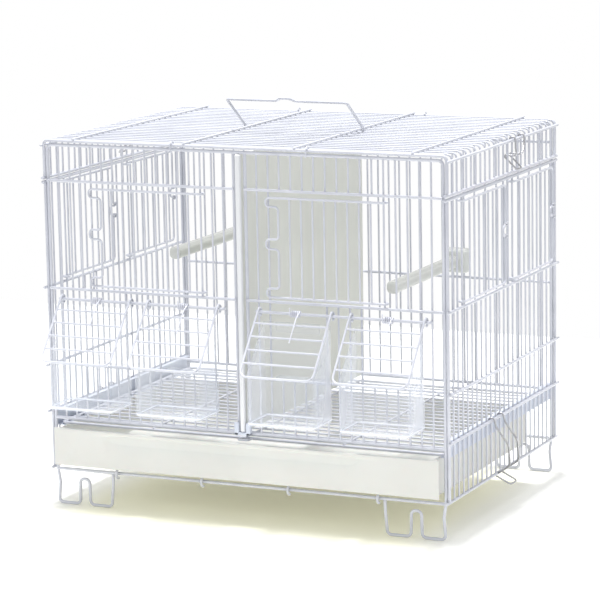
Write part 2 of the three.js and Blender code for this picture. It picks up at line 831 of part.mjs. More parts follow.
// Points of a hooked leg end, from the tip of the hook over the rail to where the leg starts down.
function clipHook(side, x, y, z) {
  const axis = point(0, side, 0);
  const spoke = point(side * clipCurl, 0, 0).applyAxisAngle(axis, -clipSweep);
  return arc(point(side * x, y, z), spoke, axis, clipSweep, curlSteps);
}

function clipLine(side, railX, railZ, gaps, corners) {
  const near = clipHook(side, railX, sideY(gaps[0]), railZ);
  const far = clipHook(side, railX, sideY(gaps[1]), railZ).reverse();
  const line = rounded([near[curlSteps], ...corners, far[0]], clipBend, 1);
  return [...near, ...line.slice(1, -1), ...far];
}

function lowerClipWire(side) {
  const [near, far] = lowerClipGaps.map(sideY);
  const { start, bow, belly, standoff, tuck, inset, tabReach, tabLean } = lowerClip;
  const under = sideFootHeight - postWire / 2 - fit - clipReach;
  const tucked = (y) => point(side * (sideX - tuck), y + lowerClip.tuckLean, under);
  const leg = (y) => [
    point(side * (sideRailX + clipCurl + start), y, clipRailHeight - lowerClip.startDrop),
    point(side * (sideRailX + bow), y + lowerClip.bowLean, clipRailHeight - lowerClip.bowDrop),
    point(side * (sideRailX + belly), y + lowerClip.bellyLean, clipRailHeight - lowerClip.bellyDrop),
    point(side * (sideX + standoff), y + lowerClip.tuckLean, under),
    tucked(y),
  ];
  const thumb = (y) => [
    tucked(y),
    point(side * (sideX + tabReach), y + lowerClip.tuckLean + tabLean, under - lowerClip.tabDrop),
  ];
  const corners = [
    ...leg(near),
    ...thumb(near + inset),
    ...thumb(far - inset).reverse(),
    ...leg(far).reverse(),
  ];
  return wire(clipLine(side, sideRailX, clipRailHeight, lowerClipGaps, corners), clipWire, clipSides);
}

function upperClipWire(side) {
  const [near, far] = upperClipGaps.map(sideY);
  const x = flapRailX + clipCurl;
  const leg = (y, shift) => [
    point(side * x, y, flapRailHeight - upperClip.straight),
    point(side * (x + upperClip.step), y + shift, flapRailHeight - upperClip.drop),
    point(side * (x - upperClip.tuck), y + shift, flapRailHeight - upperClip.tuckDrop),
    point(side * (x + upperClip.step), y + shift, flapRailHeight - upperClip.tabDrop),
  ];
  const corners = [...leg(near, upperClip.nearShift), ...leg(far, upperClip.farShift).reverse()];
  return wire(clipLine(side, flapRailX, flapRailHeight, upperClipGaps, corners), clipWire, clipSides);
}

for (const [place, side] of [["left", -1], ["right", 1]]) {
  piece(`${place}_lower_clip`, lowerClipWire(side), bareSteel);
  piece(`${place}_upper_clip`, upperClipWire(side), bareSteel);
}

// Handle: a bail that leans forward, with a small rise in the middle and ends curled round a roof wire.
const handleAngle = 53;
const handleSideStep = 6.8;
const handle = { length: 53, corner: 7, rise: 5, riseTop: 5, riseFoot: 11 };
const handleHalfWidth = innerLongWireX + handleSideStep;
const handleCurl = thinReach + fit + handleReach;
const handleSweep = (7 / 6) * Math.PI;

function handleBail() {
  const lean = THREE.MathUtils.degToRad(handleAngle);
  const up = alongZ.clone().applyAxisAngle(alongX, lean);
  const back = alongY.clone().applyAxisAngle(alongX, lean);
  const at = (x, height) =>
    point(x, 0, roofZ).addScaledVector(up, height).addScaledVector(back, handleCurl);
  const spoke = back.clone().multiplyScalar(handleCurl);
  const curl = (x) => arc(point(x, 0, roofZ), spoke, alongX, -handleSweep, curlSteps);
  const bar = rounded(
    [
      at(-handleHalfWidth, 0),
      at(-handleHalfWidth, handle.length),
      at(handleHalfWidth, handle.length),
      at(handleHalfWidth, 0),
    ],
    handle.corner,
    bendSteps + 1,
  );
  const half = bar.length / 2;
  const rise = [
    at(-handle.riseFoot, handle.length),
    at(-handle.riseTop, handle.length + handle.rise),
    at(handle.riseTop, handle.length + handle.rise),
    at(handle.riseFoot, handle.length),
  ];
  const left = curl(-handleHalfWidth).reverse();
  const right = curl(handleHalfWidth);
  const line = [...left, ...bar.slice(1, half), ...rise, ...bar.slice(half, -1), ...right];
  return wire(line, handleWire);
}

piece("carry_handle", handleBail(), whiteCoat);

// Perches: rods from clamps on the back panel, each clamp reaching between two uprights to a plate behind.
const perch = { radius: 6, capRadius: 6.8, capLength: 3, sides: 10, length: 170 };
const clamp = { width: 28, height: 26, depth: 13, neck: 8, plate: 4, plateWidth: 24, plateHeight: 22 };
const leftPerchHeight = 253;
const rightPerchHeight = 230;
const perches = [
  { name: "left", gap: 6.5, height: leftPerchHeight },
  { name: "right", gap: 26.5, height: rightPerchHeight },
];

for (const { name, gap, height } of perches) {
  const x = frontX(gap);
  const inner = postY - thinWire / 2 - fit;
  const outer = postY + thinWire / 2 + fit;
  const brick = (width, tall, low, high) =>
    block(point(x - width / 2, low, height - tall / 2), point(x + width / 2, high, height + tall / 2));
  const pieces = [
    brick(clamp.width, clamp.height, inner - clamp.depth, inner),
    brick(clamp.neck, clamp.neck, inner - 1, outer + 1),
    brick(clamp.plateWidth, clamp.plateHeight, outer, outer + clamp.plate),
  ];
  piece(`${name}_perch_clamp`, welded(pieces), creamPlastic);
  const far = inner - clamp.depth - fit;
  const rod = new THREE.CylinderGeometry(perch.radius, perch.radius, perch.length, perch.sides);
  const cap = new THREE.CylinderGeometry(perch.capRadius, perch.capRadius, perch.capLength, perch.sides);
  rod.translate(x, far - perch.length / 2, height);
  cap.translate(x, far - perch.length, height);
  piece(`${name}_perch`, welded([rod, cap]), creamPlastic);
}

// The whole stands on the ground with its footprint centred.
const bounds = new THREE.Box3().setFromObject(cage);
cage.position.set(0, -(bounds.min.y + bounds.max.y) / 2, -bounds.min.z);

export default cage;
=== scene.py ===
# %% [markdown]
# # Dressing a travel bird cage
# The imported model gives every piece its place. It comes in as a fixed frame: one object for each piece,
# and one empty for each body that moves. All the work below puts rounder, finer pieces over those solids.

import json
import math

import bpy
import numpy as np
from mathutils import Matrix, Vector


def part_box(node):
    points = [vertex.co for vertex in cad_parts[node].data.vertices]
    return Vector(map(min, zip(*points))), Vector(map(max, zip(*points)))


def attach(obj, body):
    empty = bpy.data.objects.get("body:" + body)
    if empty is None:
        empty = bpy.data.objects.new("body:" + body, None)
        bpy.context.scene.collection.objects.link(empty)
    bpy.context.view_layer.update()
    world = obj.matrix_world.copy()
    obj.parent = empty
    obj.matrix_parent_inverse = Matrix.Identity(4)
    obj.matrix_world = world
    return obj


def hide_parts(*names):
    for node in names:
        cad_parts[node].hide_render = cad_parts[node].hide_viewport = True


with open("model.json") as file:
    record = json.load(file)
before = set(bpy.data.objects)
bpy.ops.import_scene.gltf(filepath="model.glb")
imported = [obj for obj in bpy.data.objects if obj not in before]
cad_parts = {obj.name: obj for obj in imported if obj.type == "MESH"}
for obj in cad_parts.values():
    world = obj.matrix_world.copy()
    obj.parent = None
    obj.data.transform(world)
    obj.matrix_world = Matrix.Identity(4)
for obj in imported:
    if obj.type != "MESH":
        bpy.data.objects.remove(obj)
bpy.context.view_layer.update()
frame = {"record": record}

# %% [markdown]
# The cage was drawn around its own middle, in millimetres, and then moved so that its footprint is centred.
# The roof is the same at both ends, so its box tells how far the cage was moved along Y, and the crown of
# the roof, 390 mm up, tells the small step in Z. Every shape below is worked out in the drawing's
# millimetres, and this one shift takes it to the frame's metres.

# %% From the drawing to the frame
ROOF_CROWN = 390.0
roof_low, roof_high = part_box("roof_panel")
SHIFT = np.array([0.0, (roof_low[1] + roof_high[1]) / 2 * 1000, roof_high[2] * 1000 - ROOF_CROWN])


def to_frame(points):
    """Drawing millimetres to frame metres: add the shift, divide by a thousand."""
    return (np.asarray(points, dtype=float) + SHIFT) / 1000.0


print("shift in mm", SHIFT)

# %% [markdown]
# ## The camera
# The picture was taken from the front right, a little above the roof, from far away. The camera's place
# and turn come from the corners of the cage. A long lens keeps the upright wires nearly parallel.

# %% Camera
YAW, PITCH, ROLL = math.radians(-24.88), math.radians(10.32), math.radians(-1.07)
FOCAL_PIXELS, FRAME_PIXELS, SENSOR = 2876.0, 600.0, 36.0
CAMERA_PLACE = to_frame([1257.9, -2727.3, 751.7])


def add_object(name, data):
    """A new object in the scene, at the origin until it is placed."""
    made = bpy.data.objects.new(name, data)
    bpy.context.scene.collection.objects.link(made)
    return made


def place_by_axes(made, x_axis, y_axis, z_axis, place):
    """Turns an object so that its axes are the given ones, and puts it in its place."""
    turn = np.eye(4)
    turn[:3] = np.column_stack([x_axis, y_axis, z_axis, place])
    made.matrix_world = Matrix(turn.tolist())


forward = np.array([math.sin(YAW) * math.cos(PITCH), math.cos(YAW) * math.cos(PITCH), -math.sin(PITCH)])
level_right = np.array([math.cos(YAW), -math.sin(YAW), 0.0])
level_up = np.cross(level_right, forward)
right = level_right * math.cos(ROLL) + level_up * math.sin(ROLL)
up = level_up * math.cos(ROLL) - level_right * math.sin(ROLL)
lens = bpy.data.cameras.new("cage_camera")
lens.sensor_width = SENSOR
lens.lens = FOCAL_PIXELS / FRAME_PIXELS * SENSOR
lens.clip_end = 50.0
camera = add_object("cage_camera", lens)
place_by_axes(camera, right, up, -forward, CAMERA_PLACE)
bpy.context.scene.camera = camera
print("lens in mm", lens.lens)

# %% [markdown]
# ## Sizes of the wire body
# These are the drawing's own numbers: how thick each kind of wire is, where the panels stand, and at what
# heights the long wires run. A coated wire is round here, so its size is a diameter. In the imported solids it
# is square, and where it lies near a neighbour, the drawing allows for the reach of the square's corner.
# UPRIGHT is how thick an upright is in the drawing, and THIN is how thick it is here, a hair more.

# %% Sizes
THIN, POST, RAIL, CROSS, DOOR = 2.05, 3.4, 3.0, 2.4, 2.4
CLIP, RING, HANDLE, SPRING = 1.8, 1.6, 3.0, 1.3
FIT = 0.3
UPRIGHT = 2.0
SQUARE_REACH = math.sqrt(2.0)
POST_X, POST_Y = 220.3, 154.3
SIDE_X = 222.0 + FIT + POST / 2
RAIL_OFFSET = UPRIGHT / 2 + RAIL / 2 + FIT
SIDE_RAIL_X = SIDE_X + RAIL_OFFSET
CROSS_Z = ROOF_CROWN - CROSS / 2
ROOF_Z = CROSS_Z - (CROSS + UPRIGHT) / 2 - FIT
PANEL_TOP = ROOF_Z - POST / 2 * SQUARE_REACH - POST / 2 - FIT
SHOULDER, SILL, SIDE_MID, CUP_RAIL, CLIP_RAIL = 343.0, 232.0, 149.0, 151.0, 100.0
PANEL_FOOT, SIDE_FOOT = 93.5, 40.0
PANEL_BEND, ROOF_BEND = 5.0, 5.0
BACK_RAILS = (362.0, 210.0)
FRONT_GAPS, SIDE_GAPS = 35, 24
FRONT_DOORS = (("left_front_door", 4, 14), ("right_front_door", 20, 30))
PORTS = ((2, 7), (10, 15), (20, 25), (28, 33))
SIDE_DOORS = (("front", 3, 12), ("back", 14, 23))
SLOT_POSTS = (17, 18)
SIDES = (("left", -1), ("right", 1))
ENDS = (("front", -POST_Y), ("back", POST_Y))


def front_x(index):
    """Place of an upright wire of the front or back, counted from the left post."""
    return -POST_X + np.asarray(index, dtype=float) * 2 * POST_X / FRONT_GAPS


def side_y(index):
    """Place of an upright wire of a side, counted from the front post."""
    return -POST_Y + np.asarray(index, dtype=float) * 2 * POST_Y / SIDE_GAPS


print("spacing", front_x(1) - front_x(0), side_y(1) - side_y(0))

# %% [markdown]
# ## Lines
# A bent wire is a line of points first. Two helpers draw the lines: an arc turned about any axis, and a
# corner rounded with an arc, as a bending machine leaves it. The turn formula is Rodrigues' rotation,
# which works on the whole array of angles at once. A third helper puts a curl at each end of a line.

# %% Arcs and rounded corners
X, Y, Z = np.eye(3)


def arc(centre, spoke, axis, sweep, steps=12):
    """Points centre + spoke turned about axis, for steps + 1 even angles from nought to sweep."""
    spoke = np.asarray(spoke, dtype=float)
    angle = np.linspace(0.0, sweep, steps + 1)[:, None]
    along = axis * np.dot(axis, spoke)
    turned = spoke * np.cos(angle) + np.cross(axis, spoke) * np.sin(angle) + along * (1 - np.cos(angle))
    return np.asarray(centre, dtype=float) + turned


def rounded(corners, radii, steps=6):
    """The line through the corners, with each inner corner replaced by an arc that touches both its sides.
    radii is one radius for all, or one for each inner corner."""
    corners = [np.asarray(c, dtype=float) for c in corners]
    line = [corners[0][None]]
    radii = np.broadcast_to(np.asarray(radii, dtype=float), (len(corners) - 2,))
    for before, here, after, radius in zip(corners, corners[1:], corners[2:], radii):
        back = (before - here) / np.linalg.norm(before - here)
        ahead = (after - here) / np.linalg.norm(after - here)
        half = math.acos(np.clip(np.dot(back, ahead), -1, 1)) / 2
        inward = (back + ahead) / np.linalg.norm(back + ahead)
        centre = here + inward * radius / math.sin(half)
        start = here + back * radius / math.tan(half) - centre
        end = here + ahead * radius / math.tan(half) - centre
        axis = np.cross(start, end)
        sweep = math.acos(np.clip(np.dot(start, end) / radius**2, -1, 1))
        line.append(arc(centre, start, axis / np.linalg.norm(axis), sweep, steps))
    line.append(corners[-1][None])
    return np.concatenate(line)


def curled(first, line, last):
    """A line whose two end points give way to curls. Both curls are given from their open tips."""
    return np.concatenate([first, line[1:-1], last[::-1]])


print("a rounded corner has", len(rounded([X, 0 * X, Y], 0.2)), "points")

# %% [markdown]
# ## Wires
# A wire is a tube: a circle carried along a line, with a domed cap at each end. Many wires of the same
# number of points are made in one go, because the arrays simply get one more dimension. The circle's own
# axes come from one slanted reference direction, which no wire here runs along, so the tube never twists.

# %% Tubes
REFERENCE = np.array([0.62, 0.47, 0.63])
DOME, DOME_HEIGHT = np.radians([78.0, 45.0, 15.0]), 0.6


def columns(*values):
    """Stacks coordinates that are numbers or arrays into rows of points."""
    return np.stack(np.broadcast_arrays(*[np.asarray(v, dtype=float) for v in values]), axis=-1)


def skin(verts):
    """Faces between neighbouring rings, for points in (wires, rings, around), and a cap on each end ring."""
    index = np.arange(verts[..., 0].size).reshape(verts.shape[:-1])
    nxt = np.roll(index, -1, axis=2)
    quads = np.stack([index[:, :-1], nxt[:, :-1], nxt[:, 1:], index[:, 1:]], axis=-1).reshape(-1, 4)
    return verts.reshape(-1, 3), [quads, np.concatenate([index[:, 0, ::-1], index[:, -1]])]


def tubes(lines, diameter, sides=10):
    """Rings p + r (cos a n + sin a b) at each point, with n and b square to the line, and domed ends whose
    rings lie 0.6 r sin f further out with radius r cos f. lines is (wires, points, 3), or one line alone."""
    lines = np.asarray(lines, dtype=float)
    lines = lines[None] if lines.ndim == 2 else lines
    radius = diameter / 2
    run = np.gradient(lines, axis=1)
    run /= np.linalg.norm(run, axis=2, keepdims=True)
    out, small = np.sin(DOME) * radius * DOME_HEIGHT, np.cos(DOME) * radius
    head = lines[:, :1] - run[:, :1] * out[None, :, None]
    tail = lines[:, -1:] + run[:, -1:] * out[::-1][None, :, None]
    centres = np.concatenate([head, lines, tail], axis=1)
    directions = np.concatenate([np.repeat(run[:, :1], 3, 1), run, np.repeat(run[:, -1:], 3, 1)], axis=1)
    radii = np.concatenate([small, np.full(lines.shape[1], radius), small[::-1]])
    across = np.cross(directions, REFERENCE)
    across /= np.linalg.norm(across, axis=2, keepdims=True)
    other = np.cross(directions, across)
    angle = (np.arange(sides) * 2 * np.pi / sides)[None, None, :, None]
    ring = np.cos(angle) * across[:, :, None] + np.sin(angle) * other[:, :, None]
    return skin(centres[:, :, None] + radii[None, :, None, None] * ring)


def wires(x, y, z, diameter, sides=10):
    """Straight wires. Each of x, y and z is a number, an array with one value for each wire, or a tuple of
    what it is at the start and at the end."""
    start, end = [columns(*[v[i] if isinstance(v, tuple) else v for v in (x, y, z)]) for i in (0, 1)]
    share = np.linspace(0, 1, 3)[None, :, None]
    lines = start.reshape(-1, 1, 3) * (1 - share) + end.reshape(-1, 1, 3) * share
    return tubes(lines, diameter, sides)


print("one straight wire has", len(wires((0, 1), 0, 0, 0.1)[0]), "points")

# %% [markdown]
# Where two wires of a panel cross, they are spot welded and then dipped in coating, which gathers in the
# corner as a small smooth lump. A low ellipsoid at each crossing gives that lump. There are hundreds of
# them, so each has only a few dozen faces.

# %% Lumps of coating at the welds
def lumps(x, y, z, reach, around=8, rows=4):
    """Ellipsoids centre + reach (cos f cos a, cos f sin a, sin f) on a grid of angles, with closed poles."""
    high = np.linspace(-np.pi / 2, np.pi / 2, rows + 2)[1:-1, None]
    angle = np.arange(around) * 2 * np.pi / around
    ball = columns(np.cos(high) * np.cos(angle), np.cos(high) * np.sin(angle), np.sin(high))
    return skin(columns(x, y, z).reshape(-1, 1, 1, 3) + ball[None] * np.asarray(reach, dtype=float))


# %% [markdown]
# ## From arrays to pieces
# Every shape function gives points and faces. This cell joins any number of them into one mesh, marks
# edges over a set angle as sharp, gives it its material, makes the piece ride on its body and hides the
# solid it stands for.

# %% Joining shapes into a piece
BODY_OF = {node: body for body, nodes in frame["record"]["behaviour"]["bodies"].items() for node in nodes}


def joined(shapes):
    """Stacks the points of all shapes and moves each shape's face numbers up by the points before it."""
    points, faces, count = [], [], 0
    for verts, groups in shapes:
        points.append(verts)
        for group in groups:
            faces += (group + count).tolist()
        count += len(verts)
    return np.concatenate(points), faces


def piece(node, shapes, material, sharp_degrees=40.0, also=()):
    """Makes one object from the shapes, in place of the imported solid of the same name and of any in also."""
    verts, faces = joined(shapes)
    mesh = bpy.data.meshes.new(node + "_look")
    mesh.from_pydata(to_frame(verts).tolist(), [], faces)
    mesh.shade_smooth()
    mesh.set_sharp_from_angle(angle=math.radians(sharp_degrees))
    mesh.materials.append(material)
    made = add_object(node + "_look", mesh)
    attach(made, BODY_OF[node])
    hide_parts(node, *also)
    print(node, len(faces), "faces")


# %% [markdown]
# ## Finishes
# A shader is a tree of nodes, so the first helpers add a node and fill its inputs. A socket is linked to the
# input, and any other value is set on it. Every later helper gives back the socket for the next node to read.

# %% Node helpers
def add_node(tree, kind, inputs=None, **settings):
    """Adds a shader node with its properties set, and links or sets each of its inputs."""
    made = tree.nodes.new("ShaderNode" + kind)
    for name, value in settings.items():
        setattr(made, name, value)
    for name, value in (inputs or {}).items():
        if isinstance(value, bpy.types.NodeSocket):
            tree.links.new(value, made.inputs[name])
        else:
            made.inputs[name].default_value = value
    return made


def coordinate(tree, kind="Object"):
    """One of the Texture Coordinate node's vectors: Object is the place, Normal is where a face points."""
    return add_node(tree, "TexCoord").outputs[kind]


def one_axis(tree, vector, axis):
    """The X, Y or Z part of a vector."""
    return add_node(tree, "SeparateXYZ", {0: vector}).outputs[axis]


def noise(tree, scale, detail=3.0, roughness=0.5):
    """Noise in the object's own space, with its scale in cycles for each metre."""
    inputs = {"Vector": coordinate(tree), "Scale": scale, "Detail": detail, "Roughness": roughness}
    return add_node(tree, "TexNoise", inputs).outputs["Fac"]


def calculate(tree, operation, *values):
    """A Math node on sockets or numbers."""
    return add_node(tree, "Math", dict(enumerate(values)), operation=operation).outputs[0]


def spread(tree, value, start, end, low=0.0, high=1.0, curve="LINEAR"):
    """Takes start..end to low..high and clamps what lies beyond."""
    inputs = {"Value": value, "From Min": start, "From Max": end, "To Min": low, "To Max": high}
    return add_node(tree, "MapRange", inputs, interpolation_type=curve).outputs["Result"]


def blend(tree, share, first, second, kind="MIX"):
    """Mixes two colours by a share."""
    inputs = {"Factor": share, "A": first, "B": second}
    return add_node(tree, "Mix", inputs, data_type="RGBA", blend_type=kind).outputs["Result"]


# %% [markdown]
# Effects that several materials share are node groups. Each one only gives out a colour, a value or a
# height, and the shader stays in the material.

# %% Node group helper
COLOUR, VALUE = "NodeSocketColor", "NodeSocketFloat"


def node_group(name, inputs, outputs):
    """An empty group with named sockets. Gives the group, the sockets that enter it, and those that leave."""
    group = bpy.data.node_groups.new(name, "ShaderNodeTree")
    for label, kind in inputs.items():
        group.interface.new_socket(label, in_out="INPUT", socket_type=kind)
    for label, kind in outputs.items():
        group.interface.new_socket(label, in_out="OUTPUT", socket_type=kind)
    return group, group.nodes.new("NodeGroupInput").outputs, group.nodes.new("NodeGroupOutput").inputs


# %% [markdown]
# The first group makes a surface that is never one flat colour: slow clouds of tone, as dipped coating and
# moulded plastic both have.

# %% Cloudy tone
def cloudy_tone_group():
    """Mixes two colours by broad noise, and gives a roughness that wanders with finer noise."""
    inputs = {"Colour A": COLOUR, "Colour B": COLOUR, "Clouds": VALUE, "Roughness": VALUE, "Wander": VALUE}
    group, enter, leave = node_group("cloudy_tone", inputs, {"Colour": COLOUR, "Roughness": VALUE})
    clouds = spread(group, noise(group, enter["Clouds"]), 0.35, 0.65)
    centred = calculate(group, "SUBTRACT", noise(group, 420.0, 4.0), 0.5)
    rough = calculate(group, "MULTIPLY_ADD", centred, enter["Wander"], enter["Roughness"])
    group.links.new(blend(group, clouds, enter["Colour A"], enter["Colour B"]), leave["Colour"])
    group.links.new(rough, leave["Roughness"])
    return group


CLOUDY_TONE = cloudy_tone_group()

# %% [markdown]
# The second group is the fine relief of a surface: the orange peel of a coat that flowed before it set, or
# the dull grain of a mould. It gives a height, which a Bump node in the material turns into a normal.

# %% Fine relief
def fine_relief_group():
    """Adds a soft broad noise and a tight fine noise into one height, the fine one by its share."""
    inputs = {"Peel": VALUE, "Grain": VALUE, "Grain share": VALUE}
    group, enter, leave = node_group("fine_relief", inputs, {"Height": VALUE})
    peel, grain = noise(group, enter["Peel"], 1.0), noise(group, enter["Grain"], 2.0)
    group.links.new(calculate(group, "MULTIPLY_ADD", grain, enter["Grain share"], peel), leave["Height"])
    return group


FINE_RELIEF = fine_relief_group()

# %% [markdown]
# The third group is handling: sparse smudges all over, which stay faint, since the cage is nearly new.

# %% Handling marks
def handling_group():
    """Noise pushed through a steep range, so that only its peaks are left, mixed in by the amount."""
    inputs = {"Colour": COLOUR, "Mark": COLOUR, "Amount": VALUE}
    group, enter, leave = node_group("handling_marks", inputs, {"Colour": COLOUR})
    peaks = spread(group, noise(group, 60.0, 6.0, 0.65), 0.56, 0.74)
    share = calculate(group, "MULTIPLY", peaks, enter["Amount"])
    group.links.new(blend(group, share, enter["Colour"], enter["Mark"]), leave["Colour"])
    return group


HANDLING = handling_group()

# %% [markdown]
# A material puts the groups together: tone into marks into the shader's colour, and relief through a Bump
# node into its normal. What is the same all over the surface is set on the shader itself.

# %% Material helper
def shader_of(material):
    """The material's Principled node."""
    return material.node_tree.nodes["Principled BSDF"]


def finish(name, tone_a, tone_b, mark, marks, clouds, rough, wander, peel, grain, grain_share, bump_mm,
           **fixed):
    """A Principled material fed by the three groups, with the shader's fixed values set by name."""
    material = bpy.data.materials.new(name)
    material.use_nodes = True
    tree, shader = material.node_tree, shader_of(material)
    tone = add_node(tree, "Group", node_tree=CLOUDY_TONE)
    worn = add_node(tree, "Group", node_tree=HANDLING)
    relief = add_node(tree, "Group", node_tree=FINE_RELIEF)
    values = ((tone, {"Colour A": (*tone_a, 1), "Colour B": (*tone_b, 1), "Clouds": clouds,
                      "Roughness": rough, "Wander": wander}),
              (worn, {"Mark": (*mark, 1), "Amount": marks}),
              (relief, {"Peel": peel, "Grain": grain, "Grain share": grain_share}),
              (shader, fixed))
    for node, inputs in values:
        for label, value in inputs.items():
            node.inputs[label].default_value = value
    bump = {"Distance": bump_mm / 1000, "Strength": 1.0, "Height": relief.outputs["Height"]}
    tree.links.new(tone.outputs["Colour"], worn.inputs["Colour"])
    tree.links.new(worn.outputs["Colour"], shader.inputs["Base Color"])
    tree.links.new(tone.outputs["Roughness"], shader.inputs["Roughness"])
    tree.links.new(add_node(tree, "Bump", bump).outputs["Normal"], shader.inputs["Normal"])
    return material


def shade_along(material, vector, axis, start, end, shade, curve="LINEAR", kind="MIX"):
    """Lays a shade over the base colour, more and more as one axis of a coordinate goes from start to end."""
    tree, base = material.node_tree, shader_of(material).inputs["Base Color"]
    share = spread(tree, one_axis(tree, coordinate(tree, vector), axis), start, end, curve=curve)
    tree.links.new(blend(tree, share, base.links[0].from_socket, (*shade, 1), kind), base)


# %% [markdown]
# The wires wear a thick glossy white coat with a cool lavender cast, which shows most where the wire turns
# away from the light. The tray is cream plastic with a fine dull grain, and the divider is greener. The
# perches and their clamps are the same cream plastic painted greyer, a painted shade for the shade they sit
# in. The clips are bare drawn steel wire, and the springs a brighter one.

# %% Coated wire, plastics and steel
COAT = finish("white_wire_coat", (0.56, 0.575, 0.64), (0.63, 0.645, 0.71), (0.50, 0.51, 0.57), 0.15,
              clouds=24.0, rough=0.33, wander=0.12, peel=900.0, grain=5200.0, grain_share=0.25,
              bump_mm=0.05, **{"Coat Weight": 0.35, "Coat Roughness": 0.12})
CREAM = finish("cream_moulded_plastic", (0.64, 0.64, 0.61), (0.69, 0.69, 0.66), (0.57, 0.57, 0.53), 0.18,
               clouds=9.0, rough=0.42, wander=0.14, peel=260.0, grain=3800.0, grain_share=0.5,
               bump_mm=0.05, **{"Subsurface Weight": 0.06, "Subsurface Scale": 0.002})
PALE = finish("pale_blue_plastic", (0.60, 0.64, 0.74), (0.66, 0.70, 0.79), (0.5, 0.52, 0.60), 0.15,
              clouds=40.0, rough=0.38, wander=0.12, peel=400.0, grain=3000.0, grain_share=0.4, bump_mm=0.04)
# The perch and clamp colours are the cream darkened to a grey: painted shade.
PERCH = finish("cream_perch_painted_shade", (0.60, 0.61, 0.58), (0.65, 0.66, 0.63), (0.52, 0.53, 0.50), 0.2,
               clouds=12.0, rough=0.50, wander=0.12, peel=300.0, grain=3000.0, grain_share=0.5, bump_mm=0.05)
CLAMP = finish("cream_clamp_painted_shade", (0.64, 0.655, 0.63), (0.69, 0.705, 0.68), (0.56, 0.57, 0.54), 0.2,
               clouds=14.0, rough=0.50, wander=0.12, peel=300.0, grain=3000.0, grain_share=0.5, bump_mm=0.05)
SHEET = finish("grey_green_sheet", (0.67, 0.68, 0.625), (0.72, 0.73, 0.675), (0.60, 0.61, 0.55), 0.18,
               clouds=9.0, rough=0.42, wander=0.14, peel=260.0, grain=3800.0, grain_share=0.5, bump_mm=0.05)
STEEL = finish("drawn_steel_wire", (0.36, 0.36, 0.38), (0.46, 0.46, 0.48), (0.22, 0.21, 0.20), 0.35,
               clouds=180.0, rough=0.30, wander=0.25, peel=1500.0, grain=6000.0, grain_share=0.5,
               bump_mm=0.03, Metallic=1.0)
ZINC = finish("bright_spring_wire", (0.66, 0.67, 0.74), (0.76, 0.77, 0.84), (0.5, 0.5, 0.56), 0.2,
              clouds=150.0, rough=0.38, wander=0.15, peel=1500.0, grain=6000.0, grain_share=0.5,
              bump_mm=0.02, Metallic=0.3)
CLEAR = finish("clear_cup_plastic", (0.84, 0.88, 0.97), (0.92, 0.94, 1.0), (0.75, 0.78, 0.88), 0.3,
               clouds=20.0, rough=0.08, wander=0.05, peel=120.0, grain=900.0, grain_share=0.15,
               bump_mm=0.06, IOR=1.5)
print("finishes", [m.name for m in (COAT, CREAM, PALE, PERCH, CLAMP, SHEET, STEEL, ZINC, CLEAR)])

# %% [markdown]
# The upper side of each perch and clamp is painted darker, a painted shade that keeps the overhead lamp
# from washing it out. How far a surface faces up is read from its own normal, and its colour is multiplied
# by a darker shade to that degree.

# %% Painted shade on upper sides
# Painted shade: upward-facing surfaces of perches and clamps are multiplied darker.
for material, grey in ((PERCH, 0.57), (CLAMP, 0.55)):
    shade_along(material, "Normal", "Z", 0.2, 0.95, (grey, grey, grey), "SMOOTHSTEP", "MULTIPLY")

# %% [markdown]
# The cups are clear moulded plastic. A thin clear wall hardly bends what is seen through it, so it is made
# with alpha instead of refraction: almost open where it is looked at squarely, and nearly solid white where
# it turns edge on, as at the rims and the rounded corners. The thick edge at the foot of a cup gathers light
# and looks white from every side. That glow is a painted highlight: the lowest millimetres of the walls are
# made denser, so that their near-white colour shows. The floor of a cup lies almost edge on from most places,
# and yet the grille shows through it, so it is kept more open.

# %% How clear the cups are
CUP_FOOT = 113.0
FOOT_HIGHLIGHT_LOW, FOOT_HIGHLIGHT_HIGH = [(CUP_FOOT + SHIFT[2] + above) / 1000 for above in (2.8, 4.8)]
clear = CLEAR.node_tree
turned = calculate(clear, "POWER", add_node(clear, "LayerWeight", {"Blend": 0.5}).outputs["Facing"], 2.6)
edge_density = spread(clear, turned, 0.0, 1.0, 0.07, 0.9)
flatness = calculate(clear, "ABSOLUTE", one_axis(clear, coordinate(clear, "Normal"), "Z"))
floor_open = spread(clear, flatness, 0.8, 1.0, 1.0, 0.25)
level = one_axis(clear, coordinate(clear), "Z")
# Painted highlight: the lowest millimetres of the walls are made dense, so they show white.
foot_highlight_band = spread(clear, level, FOOT_HIGHLIGHT_HIGH, FOOT_HIGHLIGHT_LOW, 0.0, 0.95, "SMOOTHSTEP")
foot_painted_highlight = calculate(clear, "MULTIPLY", foot_highlight_band, calculate(clear, "SUBTRACT", 1.0, flatness))
wall_density = calculate(clear, "MULTIPLY", edge_density, floor_open)
alpha = calculate(clear, "MAXIMUM", wall_density, foot_painted_highlight)
clear.links.new(alpha, shader_of(CLEAR).inputs["Alpha"])
print("the foot of a cup is dense up to", round(FOOT_HIGHLIGHT_HIGH * 1000, 1), "mm")

# %% [markdown]
# ## Front panel
# One thick wire is bent into the posts and the top, and a foot wire closes it. Thin uprights stop at the
# doors and at the feeding ports. Two thicker uprights in the middle leave a slot for the divider, and every
# long wire stops there.

# %% Frame of the front and back panels
PANEL_FACE = -POST_Y - POST / 2
RAIL_SINK, LAP = 0.45, 0.7
RAIL_LUMP = (1.45, 1.2, 1.7)


def panel_frame(y):
    """The bent frame wire with its tight corners, and the straight foot wire."""
    corners = [(-POST_X, SIDE_FOOT), (-POST_X, PANEL_TOP), (POST_X, PANEL_TOP), (POST_X, SIDE_FOOT)]
    posts = rounded([(x, y, z) for x, z in corners], PANEL_BEND, 8)
    return [tubes(posts, POST, 14), wires((-POST_X, POST_X), y, PANEL_FOOT, POST, 14)]


def between(ranges, index):
    """True where an upright's number lies inside any of the ranges."""
    return np.any([(index > low) & (index < high) for low, high in ranges], axis=0)


